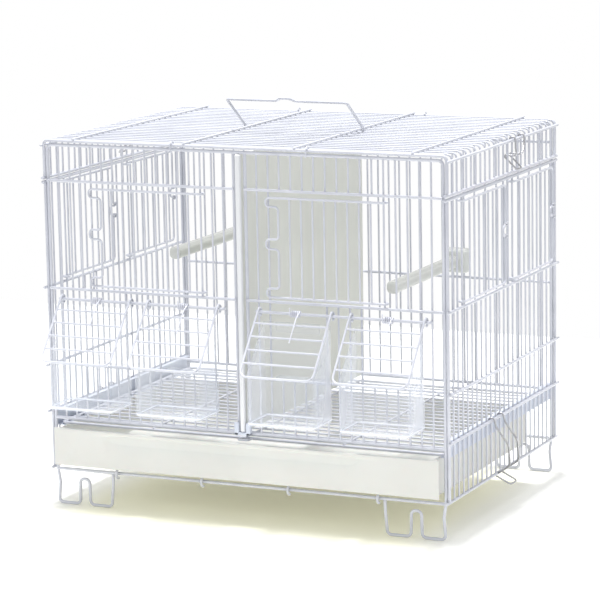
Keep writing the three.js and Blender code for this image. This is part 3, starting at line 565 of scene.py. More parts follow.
# %% Uprights of the front
numbers = np.array([i for i in range(1, FRONT_GAPS) if i not in SLOT_POSTS])
in_door = between([(a, b) for _, a, b in FRONT_DOORS], numbers)
in_port = between(PORTS, numbers)
cut = in_door | in_port
cut_x = front_x(numbers[cut])
low_y = np.where(in_port, -POST_Y + LAP, -POST_Y - LAP)[cut]
low_top = np.where(in_port, CUP_RAIL + 1.0, SILL + 1.0)[cut]
high_foot = np.where(in_door, SHOULDER + 1.0, SILL - 1.0)[cut]
front = panel_frame(-POST_Y)
front.append(wires(front_x(numbers[~cut]), -POST_Y, (PANEL_FOOT, PANEL_TOP), THIN))
front.append(wires(cut_x, low_y, (PANEL_FOOT, low_top), THIN))
front.append(wires(cut_x, -POST_Y - LAP, (high_foot, PANEL_TOP), THIN))
front.append(wires(front_x(SLOT_POSTS), -POST_Y, (PANEL_FOOT, PANEL_TOP), POST, 14))

# %% Long wires of the front and its welds
outside_y, inside_y = -POST_Y - RAIL_OFFSET + RAIL_SINK, -POST_Y + RAIL_OFFSET - RAIL_SINK
rail_y, rail_z = np.array([outside_y, outside_y, inside_y]), np.array([SHOULDER + 2.0, SILL, CUP_RAIL])
for first, last in ((0, SLOT_POSTS[0]), (SLOT_POSTS[1], FRONT_GAPS)):
    front.append(wires((front_x(first), front_x(last)), rail_y, rail_z, RAIL, 14))
for y, z in zip(rail_y, rail_z):
    front.append(lumps(front_x(numbers), (y - POST_Y) / 2, z, RAIL_LUMP))
for z in (PANEL_FOOT + 1.6, PANEL_TOP - 1.6):
    front.append(lumps(front_x(numbers), -POST_Y, z, (1.3, 1.3, 1.1)))
piece("front_panel", front, COAT)

# %% [markdown]
# ## Back panel
# The back is plain: every upright runs from the foot to the top, and two long wires cross behind them.

# %% Back
back_x, back_y = front_x(np.arange(1, FRONT_GAPS)), POST_Y + RAIL_OFFSET - RAIL_SINK
back = panel_frame(POST_Y)
back.append(wires(back_x, POST_Y, (PANEL_FOOT, PANEL_TOP), THIN))
back.append(wires((-POST_X, POST_X), back_y, np.array(BACK_RAILS), RAIL, 14))
back += [lumps(back_x, (back_y + POST_Y) / 2, z, RAIL_LUMP) for z in BACK_RAILS]
piece("back_panel", back, COAT)

# %% [markdown]
# ## Side panels
# A side is a grid on thick end posts. Its top wire is the shoulder that the roof's flap comes down to. The
# long wires run outside the uprights, and their bare ends stick out past the corner posts.

# %% Sides
side_numbers = np.arange(1, SIDE_GAPS)
bar_y = side_y(side_numbers)
tip_y = POST_Y + POST / 2 * SQUARE_REACH + 3.0
side_rail_sink = np.array([0.6, 0.4, 0.4])
side_rail_z = np.array([SILL, SIDE_MID, CLIP_RAIL])


def side_panel(side):
    """End posts, uprights that stop at the sill under a door, and five long wires with their welds."""
    x, weld_x = side * SIDE_X, side * (SIDE_X + SIDE_RAIL_X) / 2
    tops = np.where(between([(a, b) for _, a, b in SIDE_DOORS], side_numbers), SILL, SHOULDER)
    shapes = [wires(x, np.array([-POST_Y, POST_Y]), (SIDE_FOOT, SHOULDER), POST, 14),
              wires(x, (-tip_y, tip_y), np.array([SHOULDER, SIDE_FOOT]), POST, 14),
              wires(x, bar_y, (SIDE_FOOT, tops), THIN),
              wires(side * (SIDE_RAIL_X - side_rail_sink), (-tip_y, tip_y), side_rail_z, RAIL, 14)]
    shapes += [lumps(weld_x, bar_y, z, (1.2, 1.45, 1.7)) for z in side_rail_z]
    return shapes + [lumps(x, bar_y, z, (1.3, 1.5, 2.1)) for z in (SHOULDER, SIDE_FOOT)]


for place, side in SIDES:
    piece(f"{place}_side_panel", side_panel(side), COAT, also=[f"{place}_side_upper_frame"])

# %% [markdown]
# ## Roof
# The roof's wires run across the cage and turn down at both sides into short flaps. Four long wires lie on
# top of them, and on each flap there is a foot wire and a rail that the clip hangs on.

# %% Roof
FLAP_X = SIDE_X + 0.3
FLAP_FOOT = SHOULDER + POST + 0.8
FLAP_RAIL_X = FLAP_X + RAIL_OFFSET
FLAP_RAIL_Z = ROOF_Z - ROOF_BEND - FIT
LONG_WIRES = np.array([-189.0, -61.7, 61.7, 189.0])
FLAP_RAIL_SINK, CROSS_SINK = 0.4, 0.3
roof_tip = POST_Y + POST / 2 * SQUARE_REACH
both = np.array([-1.0, 1.0])


def roof_line(y):
    """From one flap's foot over the top to the other's, with tight bends."""
    corners = [(-FLAP_X, FLAP_FOOT), (-FLAP_X, ROOF_Z), (FLAP_X, ROOF_Z), (FLAP_X, FLAP_FOOT)]
    return rounded([(x, y, z) for x, z in corners], ROOF_BEND)


roof = [tubes(np.stack([roof_line(y) for y in both * POST_Y]), POST, 14),
        tubes(np.stack([roof_line(y) for y in bar_y]), THIN),
        wires(both * FLAP_X, (-roof_tip - 3, roof_tip + 3), FLAP_FOOT, POST, 14),
        wires(both * (FLAP_RAIL_X - FLAP_RAIL_SINK), (-roof_tip, roof_tip), FLAP_RAIL_Z, RAIL, 14),
        wires(LONG_WIRES, (-roof_tip, roof_tip), CROSS_Z - CROSS_SINK, CROSS, 12)]
roof += [lumps(x, bar_y, (CROSS_Z + ROOF_Z) / 2 - 0.2, (1.6, 1.4, 1.0)) for x in LONG_WIRES]
for side in both:
    roof.append(lumps(side * FLAP_X, bar_y, FLAP_FOOT, (1.5, 1.5, 2.0)))
    roof.append(lumps(side * (FLAP_X + FLAP_RAIL_X) / 2, bar_y, FLAP_RAIL_Z, (1.2, 1.4, 1.7)))
piece("roof_panel", roof, COAT)

# %% [markdown]
# Two rings join the roof to the back panel. Each is a short wire closed round the two top wires, so the
# roof swings there. Two open hooks of the same wire sit over the front edge.

# %% Hinge rings and front hooks
RING_RADIUS = (POST + RING) / 2 * SQUARE_REACH + FIT
low_spoke = -(Y + Z) * math.sqrt(0.5) * RING_RADIUS
for place, index in (("left", 11.5), ("right", 23.5)):
    x = float(front_x(index))
    ring = np.concatenate([arc((x, POST_Y, PANEL_TOP), low_spoke, X, math.pi * 0.75, 12),
                           arc((x, POST_Y, ROOF_Z), Y * RING_RADIUS, X, math.pi, 14),
                           [(x, POST_Y - RING_RADIUS, PANEL_TOP + FIT)]])
    hook = np.concatenate([arc((x, -POST_Y, ROOF_Z), Y * RING_RADIUS, X, math.pi, 14),
                           [(x, -POST_Y - RING_RADIUS, ROOF_Z - 6.0)]])
    piece(f"{place}_roof_hinge_ring", [tubes(ring, RING, 12)], COAT)
    piece(f"{place}_roof_front_hook", [tubes(hook, RING, 12)], COAT)

# %% [markdown]
# ## Doors
# A door is one wire bent round its edge, with both ends curled about an upright of the panel so that it
# turns there. The front doors have a recessed free edge with a round ear at each corner, and at mid height
# two prongs that snap over the next upright. Thin uprights line up with those of the panel.

# %% Front doors
DOOR_TOP, DOOR_FOOT, EAR, LOOP_TOP, LOOP_FOOT = SHOULDER - 5, SILL + 5, 9.0, 296.0, 286.0
DOOR_OUT = (UPRIGHT + DOOR) / 2 * SQUARE_REACH + FIT


def front_door(first, last):
    """The curl, the edge with its ears and prongs, the second curl, and the uprights between."""
    hinge_y = -POST_Y - LAP
    y = hinge_y - DOOR_OUT
    hinge, corner, stile = float(front_x(last)), float(front_x(first)) - 1, float(front_x(first + 1))
    corners = [(hinge, DOOR_TOP), (corner, DOOR_TOP), (corner, DOOR_TOP - EAR), (stile, DOOR_TOP - EAR),
               (stile, LOOP_TOP), (corner, LOOP_TOP), (corner, LOOP_FOOT), (stile, LOOP_FOOT),
               (stile, DOOR_FOOT + EAR), (corner, DOOR_FOOT + EAR), (corner, DOOR_FOOT), (hinge, DOOR_FOOT)]
    edge = rounded([(x, y, z) for x, z in corners], 4.0, 7)
    top, foot = [arc((hinge, hinge_y, z), Y * DOOR_OUT, Z, -math.pi, 14) for z in (DOOR_TOP, DOOR_FOOT)]
    inner = front_x(np.arange(first + 2, last))
    shapes = [tubes(curled(top, edge, foot), DOOR, 12), wires(inner, y, (DOOR_FOOT, DOOR_TOP), THIN)]
    return shapes + [lumps(inner, y, z, (1.5, 1.3, 1.7)) for z in (DOOR_FOOT, DOOR_TOP)]


for name, first, last in FRONT_DOORS:
    piece(name, front_door(first, last), COAT)

# %% [markdown]
# The side doors are simpler: a plain edge, and at mid height a small open ring that a finger pulls.

# %% Side doors
def side_door(side, first, last):
    """As the front doors, without ears. Two prongs pass the latch wire, and a ring between them bulges."""
    x = side * (SIDE_X + DOOR_OUT)
    hinge, stile = float(side_y(first)), float(side_y(last)) - 3
    tip, middle = stile + 6.5, (LOOP_TOP + LOOP_FOOT) / 2
    ring = arc((x, stile - 1.5, middle), Y * 2.6 + Z * 4.4, X, math.pi * 4 / 3, 16)
    above = [(hinge, DOOR_TOP), (stile, DOOR_TOP), (stile, middle + 7.5), (tip, middle + 7.5),
             (tip, middle + 5.5)]
    below = [(tip, middle - 5.5), (tip, middle - 7.5), (stile, middle - 7.5), (stile, DOOR_FOOT),
             (hinge, DOOR_FOOT)]
    bends = [4.0, 1.5, 0.9, 0.9]
    upper = rounded([(x, y, z) for y, z in above] + [ring[0]], bends, 5)
    lower = rounded([ring[-1]] + [(x, y, z) for y, z in below], bends[::-1], 5)
    edge = np.concatenate([upper, ring[1:-1], lower])
    top, foot = [arc((side * SIDE_X, hinge, z), -side * X * DOOR_OUT, Z, side * math.pi, 14)
                 for z in (DOOR_TOP, DOOR_FOOT)]
    inner = side_y(np.arange(first + 1, last))
    shapes = [tubes(curled(top, edge, foot), DOOR, 12), wires(x, inner, (DOOR_FOOT, DOOR_TOP), THIN)]
    return shapes + [lumps(x, inner, z, (1.3, 1.5, 1.7)) for z in (DOOR_FOOT, DOOR_TOP)]


for place, side in SIDES:
    for end, first, last in SIDE_DOORS:
        piece(f"{place}_side_{end}_door", side_door(side, first, last), COAT)

# %% [markdown]
# ## Base frame and feet
# Two wires run under the front and back, and four more cross under the tray with their ends curled round
# them. Each foot is one wire with a hump, welded under the corner.

# %% Base wires and feet
TRAY_FOOT, TRAY_TOP = 45.0, 85.0
BASE_CROSS_Z = TRAY_FOOT - FIT - RAIL / 2
BASE_CURL = (POST + RAIL) / 2 * SQUARE_REACH + FIT
BASE_Z = BASE_CROSS_Z - BASE_CURL
GROUND, HUMP = POST / 2 + 0.13, 29
FOOT_SHAPE = ((0, SIDE_FOOT - FIT), (2.5, 24), (0.5, GROUND), (26, GROUND), (26.5, HUMP),
              (37.5, HUMP), (38, GROUND), (63.5, GROUND), (65.5, 24), (66, BASE_Z - POST / 2 - 0.1))
FOOT_BENDS = (12.0, 4.5, 5.0, 5.0, 5.0, 5.0, 4.5, 12.0)
base_end = POST_X - POST / 2 - FIT
for end, y in ENDS:
    piece(f"{end}_base_wire", [wires((-base_end, base_end), y, BASE_Z, POST, 16)], COAT)
for number, x in enumerate((-148.0, -49.0, 49.0, 148.0), 1):
    line = np.concatenate([arc((x, -POST_Y, BASE_Z), -Z * BASE_CURL, X, -math.pi, 14),
                           arc((x, POST_Y, BASE_Z), Z * BASE_CURL, X, -math.pi, 14)])
    piece(f"base_cross_wire_{number}", [tubes(line, RAIL, 14)], COAT)
for place, side in SIDES:
    for end, y in ENDS:
        line = rounded([(side * (POST_X - inset), y, z) for inset, z in FOOT_SHAPE], FOOT_BENDS, 8)
        piece(f"{place}_{end}_foot", [tubes(line, POST, 14)], COAT)

# %% [markdown]
# ## Floor grille
# Droppings fall through the grille into the tray. It slides in two plastic channels, and a small bent wire
# at its front is the pull.

# %% Floor grille
GRILLE_X, GRILLE_Y, GRILLE_STEPS = 216.0, 150.5, 20
GRILLE_Z = TRAY_TOP + 2 * FIT + RAIL / 2
GRILLE_EDGE = GRILLE_Y - RAIL / 2
PULL_HALF, PULL_OUT = 6, 9
grille_y = np.linspace(-GRILLE_Y, GRILLE_Y, GRILLE_STEPS + 1)[1:-1]
cross_x = np.array([-108.0, 0.0, 108.0])


def level_line(corners, radius):
    """A bent line that lies flat at the grille's height."""
    return rounded([(x, y, GRILLE_Z) for x, y in corners], radius)


edge = level_line([(-GRILLE_X, 0), (-GRILLE_X, -GRILLE_EDGE), (GRILLE_X, -GRILLE_EDGE),
                   (GRILLE_X, GRILLE_EDGE), (-GRILLE_X, GRILLE_EDGE), (-GRILLE_X, 1)], 4.0)
pull = level_line([(-PULL_HALF, -GRILLE_EDGE), (-PULL_HALF, -GRILLE_Y - PULL_OUT),
                   (PULL_HALF, -GRILLE_Y - PULL_OUT), (PULL_HALF, -GRILLE_EDGE)], 2.5)
grille = [tubes(edge, RAIL, 12), wires((-GRILLE_X, GRILLE_X), grille_y, GRILLE_Z, THIN),
          wires(cross_x, (-GRILLE_Y + 1, GRILLE_Y - 1), GRILLE_Z + 1.8, THIN)]
grille += [lumps(x, grille_y, GRILLE_Z + 0.9, (1.4, 1.4, 1.0)) for x in cross_x]
piece("floor_grille", grille + [tubes(pull, THIN, 12)], COAT)

# %% [markdown]
# ## Plastic shapes
# A moulded part has no sharp edges. Most of the plastic pieces here are stacks of loops: the same rounded
# rectangle again and again, drawn in a little where an edge is rounded and moved up the wall in between.
# Going up the outside, over the rim and down the inside gives a tub with real wall thickness, all in one
# closed surface.

# %% Loops and stacks
def rectangle_loop(half_x, half_y, radius, corner_steps=6):
    """Points round a rectangle with rounded corners, anticlockwise: corner centres plus r (cos a, sin a)."""
    angle = (np.linspace(0, np.pi / 2, corner_steps + 1) + np.arange(4)[:, None] * np.pi / 2).ravel()
    sign_x = np.repeat([1, -1, -1, 1], corner_steps + 1)
    sign_y = np.repeat([1, 1, -1, -1], corner_steps + 1)
    radius = min(radius, half_x, half_y)
    return np.stack([sign_x * (half_x - radius) + radius * np.cos(angle),
                     sign_y * (half_y - radius) + radius * np.sin(angle)], axis=1)


def stack(rings):
    """Joins rings of the same number of points into a skin, with a face over the first and the last."""
    return skin(np.asarray(rings, dtype=float)[None])


def soft_block(low, high, radius, axis=2):
    """A block with rounded edges: loops along one axis, drawn in by r (1 - sin a) near each end, where they
    lie r (1 - cos a) from it."""
    low, high = np.asarray(low, float), np.asarray(high, float)
    middle, half = (low + high) / 2, (high - low) / 2
    first, second = (axis + 1) % 3, (axis + 2) % 3
    bend = np.linspace(0, np.pi / 2, 5)
    inset, level = radius * (1 - np.sin(bend)), half[axis] - radius * (1 - np.cos(bend))
    rings = []
    for draw, height in zip([*inset, *inset[::-1]], [*-level, *level[::-1]]):
        loop = rectangle_loop(half[first] - draw, half[second] - draw, max(radius - draw, 0.05) + 0.2, 3)
        ring = np.empty((len(loop), 3))
        ring[:, first], ring[:, second], ring[:, axis] = loop[:, 0], loop[:, 1], height
        rings.append(ring + middle)
    return stack(rings)


def tub(half_x, half_y, middle, foot, rim, wall, corner, foot_round=3.0):
    """Loops from the underside round the outer edge, up the outside, over the rim and down to the floor.
    Each lies at foot + lift + share (rim - foot - round), where rim is a function of the loop's points."""
    bend = np.linspace(0, np.pi / 2, 5)
    floor_round = max(foot_round - wall, 0.6)
    loops = [(foot_round * (1 - math.sin(b)), foot_round * (1 - math.cos(b)), 0) for b in bend]
    loops += [(0.0, foot_round, share) for share in (0.25, 0.5, 0.75)]
    loops += [(wall / 2 * (1 - math.cos(b)), foot_round - wall / 2 * (1 - math.sin(b)), 1)
              for b in np.linspace(0, np.pi, 9)]
    loops += [(wall, foot_round, share) for share in (0.75, 0.5, 0.25)]
    loops += [(wall + floor_round * (1 - math.cos(b)), wall + floor_round * (1 - math.sin(b)), 0)
              for b in bend]
    rings = []
    for draw, lift, share in loops:
        loop = rectangle_loop(half_x - draw, half_y - draw, max(corner - draw, 0.4)) + middle
        rings.append(np.column_stack([loop, foot + lift + share * (rim(loop) - foot - foot_round)]))
    return stack(rings)


def slab(x, z, front, rear):
    """Two grids facing away from each other, joined round their rims into one closed skin."""
    near, far = np.stack([x, front, z], axis=-1), np.stack([x, rear, z], axis=-1)
    index = np.arange(x.size).reshape(x.shape)
    face = np.stack([index[:-1, :-1], index[1:, :-1], index[1:, 1:], index[:-1, 1:]], -1).reshape(-1, 4)
    rim = np.concatenate([index[:, 0], index[-1, 1:], index[-2::-1, -1], index[0, -2:0:-1]])
    nxt = np.roll(rim, -1)
    skirt = np.stack([rim, rim + x.size, nxt + x.size, nxt], -1)
    return np.concatenate([near.reshape(-1, 3), far.reshape(-1, 3)]), [face, face[:, ::-1] + x.size, skirt]


# %% [markdown]
# ## Tray
# The tray is a shallow drawer with a front plate that is a little wider than the drawer. The plate is moulded
# with a long shallow recess under a lip that fingers hook behind.

# %% Tray
TRAY_FRONT = PANEL_FACE - 11.0
TRAY_BACK = TRAY_FRONT + 267.0
PLATE_HALF, PLATE_THICK, PLATE_ROUND = 217.0, 3.0, 1.4
RECESS_MIDDLE, RECESS_HALF, RECESS_DEPTH = -12, 144, 1.9


def tray_plate():
    """A slab on a grid over x and z. Its front face is y = front + d(x, z), where d is a long pressed recess
    with soft ends and a ridge along its upper edge. The back face is plain, and the rims are joined."""
    x, z = np.meshgrid(np.linspace(-PLATE_HALF, PLATE_HALF, 140), np.linspace(TRAY_FOOT, TRAY_TOP, 60),
                       indexing="ij")
    ends = 1 / (1 + np.exp((np.abs(x - RECESS_MIDDLE) - RECESS_HALF) / 4.0))
    scoop = np.clip((z - 58.0) / 22.0, 0, 1) ** 1.5
    upper = 1 / (1 + np.exp((z - 80.5) / 0.35))
    edge = np.minimum.reduce([PLATE_HALF - np.abs(x), z - TRAY_FOOT, TRAY_TOP - z])
    fall = np.clip(1 - edge / PLATE_ROUND, 0, 1)
    softened = 1.3 * (1 - np.sqrt(np.clip(1 - fall**2, 0, 1)))
    front = TRAY_FRONT + 0.05 + RECESS_DEPTH * ends * scoop * upper + softened
    return slab(x, z, front, np.full_like(x, TRAY_FRONT + PLATE_THICK))


def tray_rim(points):
    """The rim of the tray is level all round."""
    return np.full(len(points), TRAY_TOP)


drawer_front = TRAY_FRONT + 1.0
drawer = tub(212.0, (TRAY_BACK - drawer_front) / 2, (0.0, (drawer_front + TRAY_BACK) / 2),
             TRAY_FOOT, tray_rim, 2.4, 6.0)
tray_boards = ["tray_front_plate", "tray_left_wall", "tray_right_wall", "tray_back_wall"]
piece("tray", [drawer, tray_plate()], CREAM, 30.0, also=tray_boards)

# %% [markdown]
# The channels that carry the grille are one profile pulled through from front to back. The divider is a thin
# sheet behind a thicker strip of a paler plastic, which its material tells apart by its place along Y. It
# fills the front slot, and its face is very slightly wavy, as a large thin moulding is.

# %% Channels
def pulled_profile(outline, start, end):
    """A closed outline in X and Z carried along Y. Both end loops are a little smaller, as if rounded."""
    middle = outline.mean(axis=0)
    rings = []
    for y, size in ((start, 0.992), (start + 0.3, 1.0), (end - 0.3, 1.0), (end, 0.992)):
        loop = middle + (outline - middle) * size
        rings.append(columns(loop[:, 0], y, loop[:, 1]))
    return stack(rings)


CHANNEL_SHELF, CHANNEL_WALL, CHANNEL_LIP, CHANNEL_DEEP = 1.2, 1.3, 5, 9
channel_outer = SIDE_X - UPRIGHT / 2 - 0.8
low = GRILLE_Z - RAIL / 2 - FIT - CHANNEL_SHELF
high = low + 17.0
profile = np.array([(0, low), (CHANNEL_DEEP, low), (CHANNEL_DEEP, low + CHANNEL_SHELF),
                    (CHANNEL_WALL, low + CHANNEL_SHELF), (CHANNEL_WALL, high - CHANNEL_SHELF),
                    (CHANNEL_LIP, high - CHANNEL_SHELF), (CHANNEL_LIP, high), (0, high)])
for place, side in SIDES:
    outline = np.column_stack([side * (channel_outer - profile[:, 0]), profile[:, 1]])[::side]
    piece(f"{place}_floor_channel", [pulled_profile(outline, -150.0, 150.0)], PALE, 30.0)

# %% Divider and its guide
DIVIDER_LOW = PANEL_FOOT + POST / 2 + FIT
DIVIDER_HIGH = PANEL_TOP - POST / 2 - FIT
STRIP_FRONT, STRIP_DEEP, SHEET_HALF = PANEL_FACE - 4.0, 5.0, 1.25
STRIP_TONE = (0.80, 0.81, 0.83)


def divider_sheet():
    """Two faces x = +/- 1.25 mm plus a wave of a quarter millimetre, on a grid over y and z."""
    y, z = np.meshgrid(np.linspace(STRIP_FRONT + 2.5, 150.0, 60), np.linspace(DIVIDER_LOW, DIVIDER_HIGH, 60),
                       indexing="ij")
    fade = np.clip((y - STRIP_FRONT - 6) / 30, 0, 1)
    wave = 0.25 * np.sin(y / 31.0) * np.sin((z - DIVIDER_LOW) / 47.0) * fade
    verts, groups = slab(y, z, wave - SHEET_HALF, wave + SHEET_HALF)
    return verts[:, [1, 0, 2]], [group[:, ::-1] for group in groups]


strip_end, strip_start = [(STRIP_FRONT + deep + SHIFT[1]) / 1000 for deep in (5.3, 4.9)]
shade_along(SHEET, "Object", "Y", strip_end, strip_start, STRIP_TONE)
strip = soft_block((-2.6, STRIP_FRONT, DIVIDER_LOW), (2.6, STRIP_FRONT + STRIP_DEEP, DIVIDER_HIGH), 1.2)
piece("divider", [strip, divider_sheet()], SHEET, 30.0)
guide_back = -POST_Y - POST / 2 * SQUARE_REACH - FIT
guide = [soft_block((left, guide_back - 4, 92.0), (right, guide_back, top), 0.8)
         for left, right, top in ((-9.0, 9.0, DIVIDER_LOW - FIT), (-9.0, -4.0, 105.0), (4.0, 9.0, 105.0))]
piece("divider_guide", guide, PALE, 30.0)

# %% [markdown]
# ## Feeders
# In front of each pair of ports a rod carries two hoods. A hood is a bent wire frame with cross wires, and
# lies at about fifty degrees over its cup. A coil spring round the rod presses it down: one long leg lies
# on the hood and a short one stands up.

# %% Rods
ROD_Z, ROD_Y, ROD_SEAT = 222.0, -POST_Y - 7.2, -POST_Y - UPRIGHT / 2 - FIT
for name, first, last in (("left_feeder_rod", 1, 16), ("right_feeder_rod", 19, 34)):
    a, b = float(front_x(first)), float(front_x(last))
    corners = [(a, ROD_SEAT, ROD_Z), (a, ROD_Y, ROD_Z), (b, ROD_Y, ROD_Z), (b, ROD_SEAT, ROD_Z)]
    piece(name, [tubes(rounded(corners, 2.5, 7), RAIL, 14)], COAT)

# %% Hoods
HOOD_HALF, HOOD_FORWARD, HOOD_DROP, HOOD_CORNER = 40.0, 48.0, 59.0, 8.0
HOOD_LENGTH = math.hypot(HOOD_FORWARD, HOOD_DROP)
HOOD_CURL = (RAIL + DOOR) / 2 * SQUARE_REACH + FIT
HOOD_LUMP = (1.5, 1.4, 1.4)
down = np.array([0.0, -HOOD_FORWARD, -HOOD_DROP]) / HOOD_LENGTH
out = np.array([0.0, -HOOD_DROP, HOOD_FORWARD]) / HOOD_LENGTH
centres = [float(front_x(a) + front_x(b)) / 2 for a, b in PORTS]


def hung_bow(axle, spoke, corners, radius, steps):
    """A bent line whose two ends curl about a wire along X. axle is that wire's y and z."""
    ends = corners[0][0], corners[-1][0]
    first, last = [arc((x, *axle), spoke, X, -math.pi * 7 / 6, 16)[::-1] for x in ends]
    return curled(first, rounded(corners, radius, steps), last)


def on_hood(x, along, off):
    """A point on the hood's slope: along runs down it from the rod and off stands square to it."""
    return np.array([x, ROD_Y, ROD_Z]) + down * along + out * off


def hood(centre):
    """Curl, frame with rounded lower corners, curl, and four cross wires with their welds."""
    a, b = centre - HOOD_HALF, centre + HOOD_HALF
    places = ((a, 0), (a, HOOD_LENGTH), (b, HOOD_LENGTH), (b, 0))
    corners = [on_hood(x, along, HOOD_CURL) for x, along in places]
    bow = hung_bow((ROD_Y, ROD_Z), out * HOOD_CURL, corners, HOOD_CORNER, 10)
    _, y, z = np.stack([on_hood(a, HOOD_LENGTH * step / 5, HOOD_CURL) for step in range(1, 5)], axis=1)
    welds = [lumps(x, y, z, HOOD_LUMP) for x in (a, b)]
    return [tubes(bow, DOOR, 14), wires((a, b), y, z, THIN)] + welds


# %% Springs
COIL_RADIUS, COIL_PITCH, COIL_STEPS = 2.95, 2.1, 24


def spring(centre):
    """A helix y = r cos a, z = r sin a about the rod, with x growing evenly. It starts under a short upright
    leg, makes just under five turns, and leaves along the hood."""
    start, end = math.pi, math.atan2(out[2], out[1]) + 2 * math.pi * 5
    turns = (end - start) / 2 / math.pi
    length = COIL_PITCH * turns
    share = np.linspace(0, 1, int(round(turns * COIL_STEPS)) + 1)
    angle = start + (end - start) * share
    coil = columns(centre - length / 2 + length * share,
                   ROD_Y + COIL_RADIUS * np.cos(angle), ROD_Z + COIL_RADIUS * np.sin(angle))
    off = HOOD_CURL + UPRIGHT / 2 * SQUARE_REACH + FIT + SPRING / 2 / math.cos(math.pi / 5)
    leg = np.stack([on_hood(centre + length / 2, along, off) for along in (8.0, 20.0, 36.0)])
    return [tubes(np.concatenate([[coil[0] + Z * 6.0, coil[0] + Z * 3.0], coil, leg]), SPRING, 10)]


# %% [markdown]
# A cup is a tub whose rim climbs from a low front to a high back, so that its sides stand as wings under
# the hood. The bird reaches it through a window in the back wall, and a lip hooks over the cup rail behind
# the front wires.

# %% Cups
CUP_HALF, CUP_RIM, WING_TOP = 37.0, 162.0, 212.0
CUP_BACK, CUP_FRONT = PANEL_FACE - 2 * FIT, PANEL_FACE - 48.0
WINDOW_HALF, WINDOW_LOW, WINDOW_HIGH = 23.0, 168.0, 202.0
LIP_HALF, LIP_THICK, LIP_DROP = 25, 1.8, 7.0


def cup(centre):
    """The tub, with a rim that follows the wings and dips at the window, the bar over it, and the lip."""
    def rim(points):
        share = np.clip((points[:, 1] - CUP_FRONT) / (CUP_BACK - 9 - CUP_FRONT), 0, 1)
        height = CUP_RIM + (WING_TOP - CUP_RIM) * share
        inside = np.clip((WINDOW_HALF + 1.5 - np.abs(points[:, 0] - centre)) / 1.5, 0, 1)
        return np.where(points[:, 1] > CUP_BACK - 3.0, height + (WINDOW_LOW - height) * inside, height)

    middle, half_y = (centre, (CUP_BACK + CUP_FRONT) / 2), (CUP_BACK - CUP_FRONT) / 2
    body = tub(CUP_HALF, half_y, middle, CUP_FOOT, rim, 2.0, 4.0)
    shelf = CUP_RAIL + RAIL / 2 * SQUARE_REACH + FIT
    hook_y = -POST_Y + RAIL_OFFSET + RAIL / 2 + FIT
    blocks = ((WINDOW_HALF + 1, CUP_BACK - 2.0, WINDOW_HIGH, CUP_BACK, WING_TOP, 0.7),
              (LIP_HALF, CUP_BACK - 1.0, shelf, hook_y + LIP_THICK, shelf + LIP_THICK, 0.5),
              (LIP_HALF, hook_y, shelf + LIP_THICK - LIP_DROP, hook_y + LIP_THICK, shelf + LIP_THICK, 0.5))
    return [body] + [soft_block((centre - half, front, low), (centre + half, rear, high), radius, 0)
                     for half, front, low, rear, high, radius in blocks]


for number, centre in enumerate(centres, 1):
    piece(f"feeder_hood_{number}", hood(centre), COAT)
    piece(f"feeder_spring_{number}", spring(centre), ZINC)
    piece(f"feeder_cup_{number}", cup(centre), CLEAR, 30.0)

# %% [markdown]
# ## Clips
# The clips are bare steel wire bent into a hooked staple with a thumb tab. The lower ones hang on the side
# rail and reach under the foot wire. The upper ones hang on the roof's flaps.

# %% Clips
CLIP_REACH = CLIP / 2 / math.cos(math.pi / 6)
CLIP_CURL = RAIL / 2 * SQUARE_REACH + FIT + CLIP_REACH


def clip_line(side, rail_x, rail_z, ends, corners, bends):
    """Hook over the rail, down one leg through the corners, and back up the other leg to its hook. bends
    are those of the first half, and the second half has the same in turn."""
    spoke = arc((0, 0, 0), side * X * CLIP_CURL, Y * side, -math.pi * 5 / 6, 1)[-1]
    near, far = [arc((side * rail_x, y, rail_z), spoke, Y * side, math.pi * 5 / 6, 14) for y in ends]
    corners = [(side * x, y, z) for x, y, z in corners]
    return curled(near, rounded([near[-1], *corners, far[-1]], bends + bends[::-1], 7), far)


def lower_clip(side):
    """Legs that bow outwards and lean back, a tuck under the foot wire, and a tab that slopes down."""
    near, far = [float(side_y(gap)) for gap in (8.5, 10.5)]
    tuck, under = SIDE_X - 4.0, SIDE_FOOT - POST / 2 - FIT - CLIP_REACH

    def leg(y):
        return [(SIDE_RAIL_X + CLIP_CURL + 2, y, CLIP_RAIL - 6), (SIDE_RAIL_X + 15.0, y + 10, 74.0),
                (SIDE_RAIL_X + 13.0, y + 20, 50.0), (tuck, y + 23, under)]

    def thumb(y):
        return [(tuck, y + 23, under), (SIDE_X + 13.0, y + 25, under - 9.0)]

    corners = leg(near) + thumb(near + 3.5) + thumb(far - 3.5)[::-1] + leg(far)[::-1]
    return clip_line(side, SIDE_RAIL_X, CLIP_RAIL, (near, far), corners, [6.0, 16.0, 9.0, 1.6, 1.6, 4.0])


def upper_clip(side):
    """Legs that drop from the rail, a tuck in through the flap, and a tab that turns down and outwards."""
    near, far = [float(side_y(gap)) for gap in (13.5, 15.5)]
    x = FLAP_RAIL_X + CLIP_CURL

    def leg(y, shift):
        return [(x, y, FLAP_RAIL_Z - 8), (x + 1, y + shift, FLAP_RAIL_Z - 16),
                (x - 15, y + shift, FLAP_RAIL_Z - 15), (x + 1, y + shift, FLAP_RAIL_Z - 30)]

    corners = leg(near, 1.0) + leg(far, -10.0)[::-1]
    return clip_line(side, FLAP_RAIL_X, FLAP_RAIL_Z, (near, far), corners, [4.0, 2.5, 1.6, 3.0])


for place, side in SIDES:
    piece(f"{place}_lower_clip", [tubes(lower_clip(side), CLIP, 12)], STEEL)
    piece(f"{place}_upper_clip", [tubes(upper_clip(side), CLIP, 12)], STEEL)

# %% [markdown]
# ## Handle
# The bail leans forward as it was left in the picture. It has a small rise in the middle of its bar, and
# its ends are curled round one of the roof's wires.

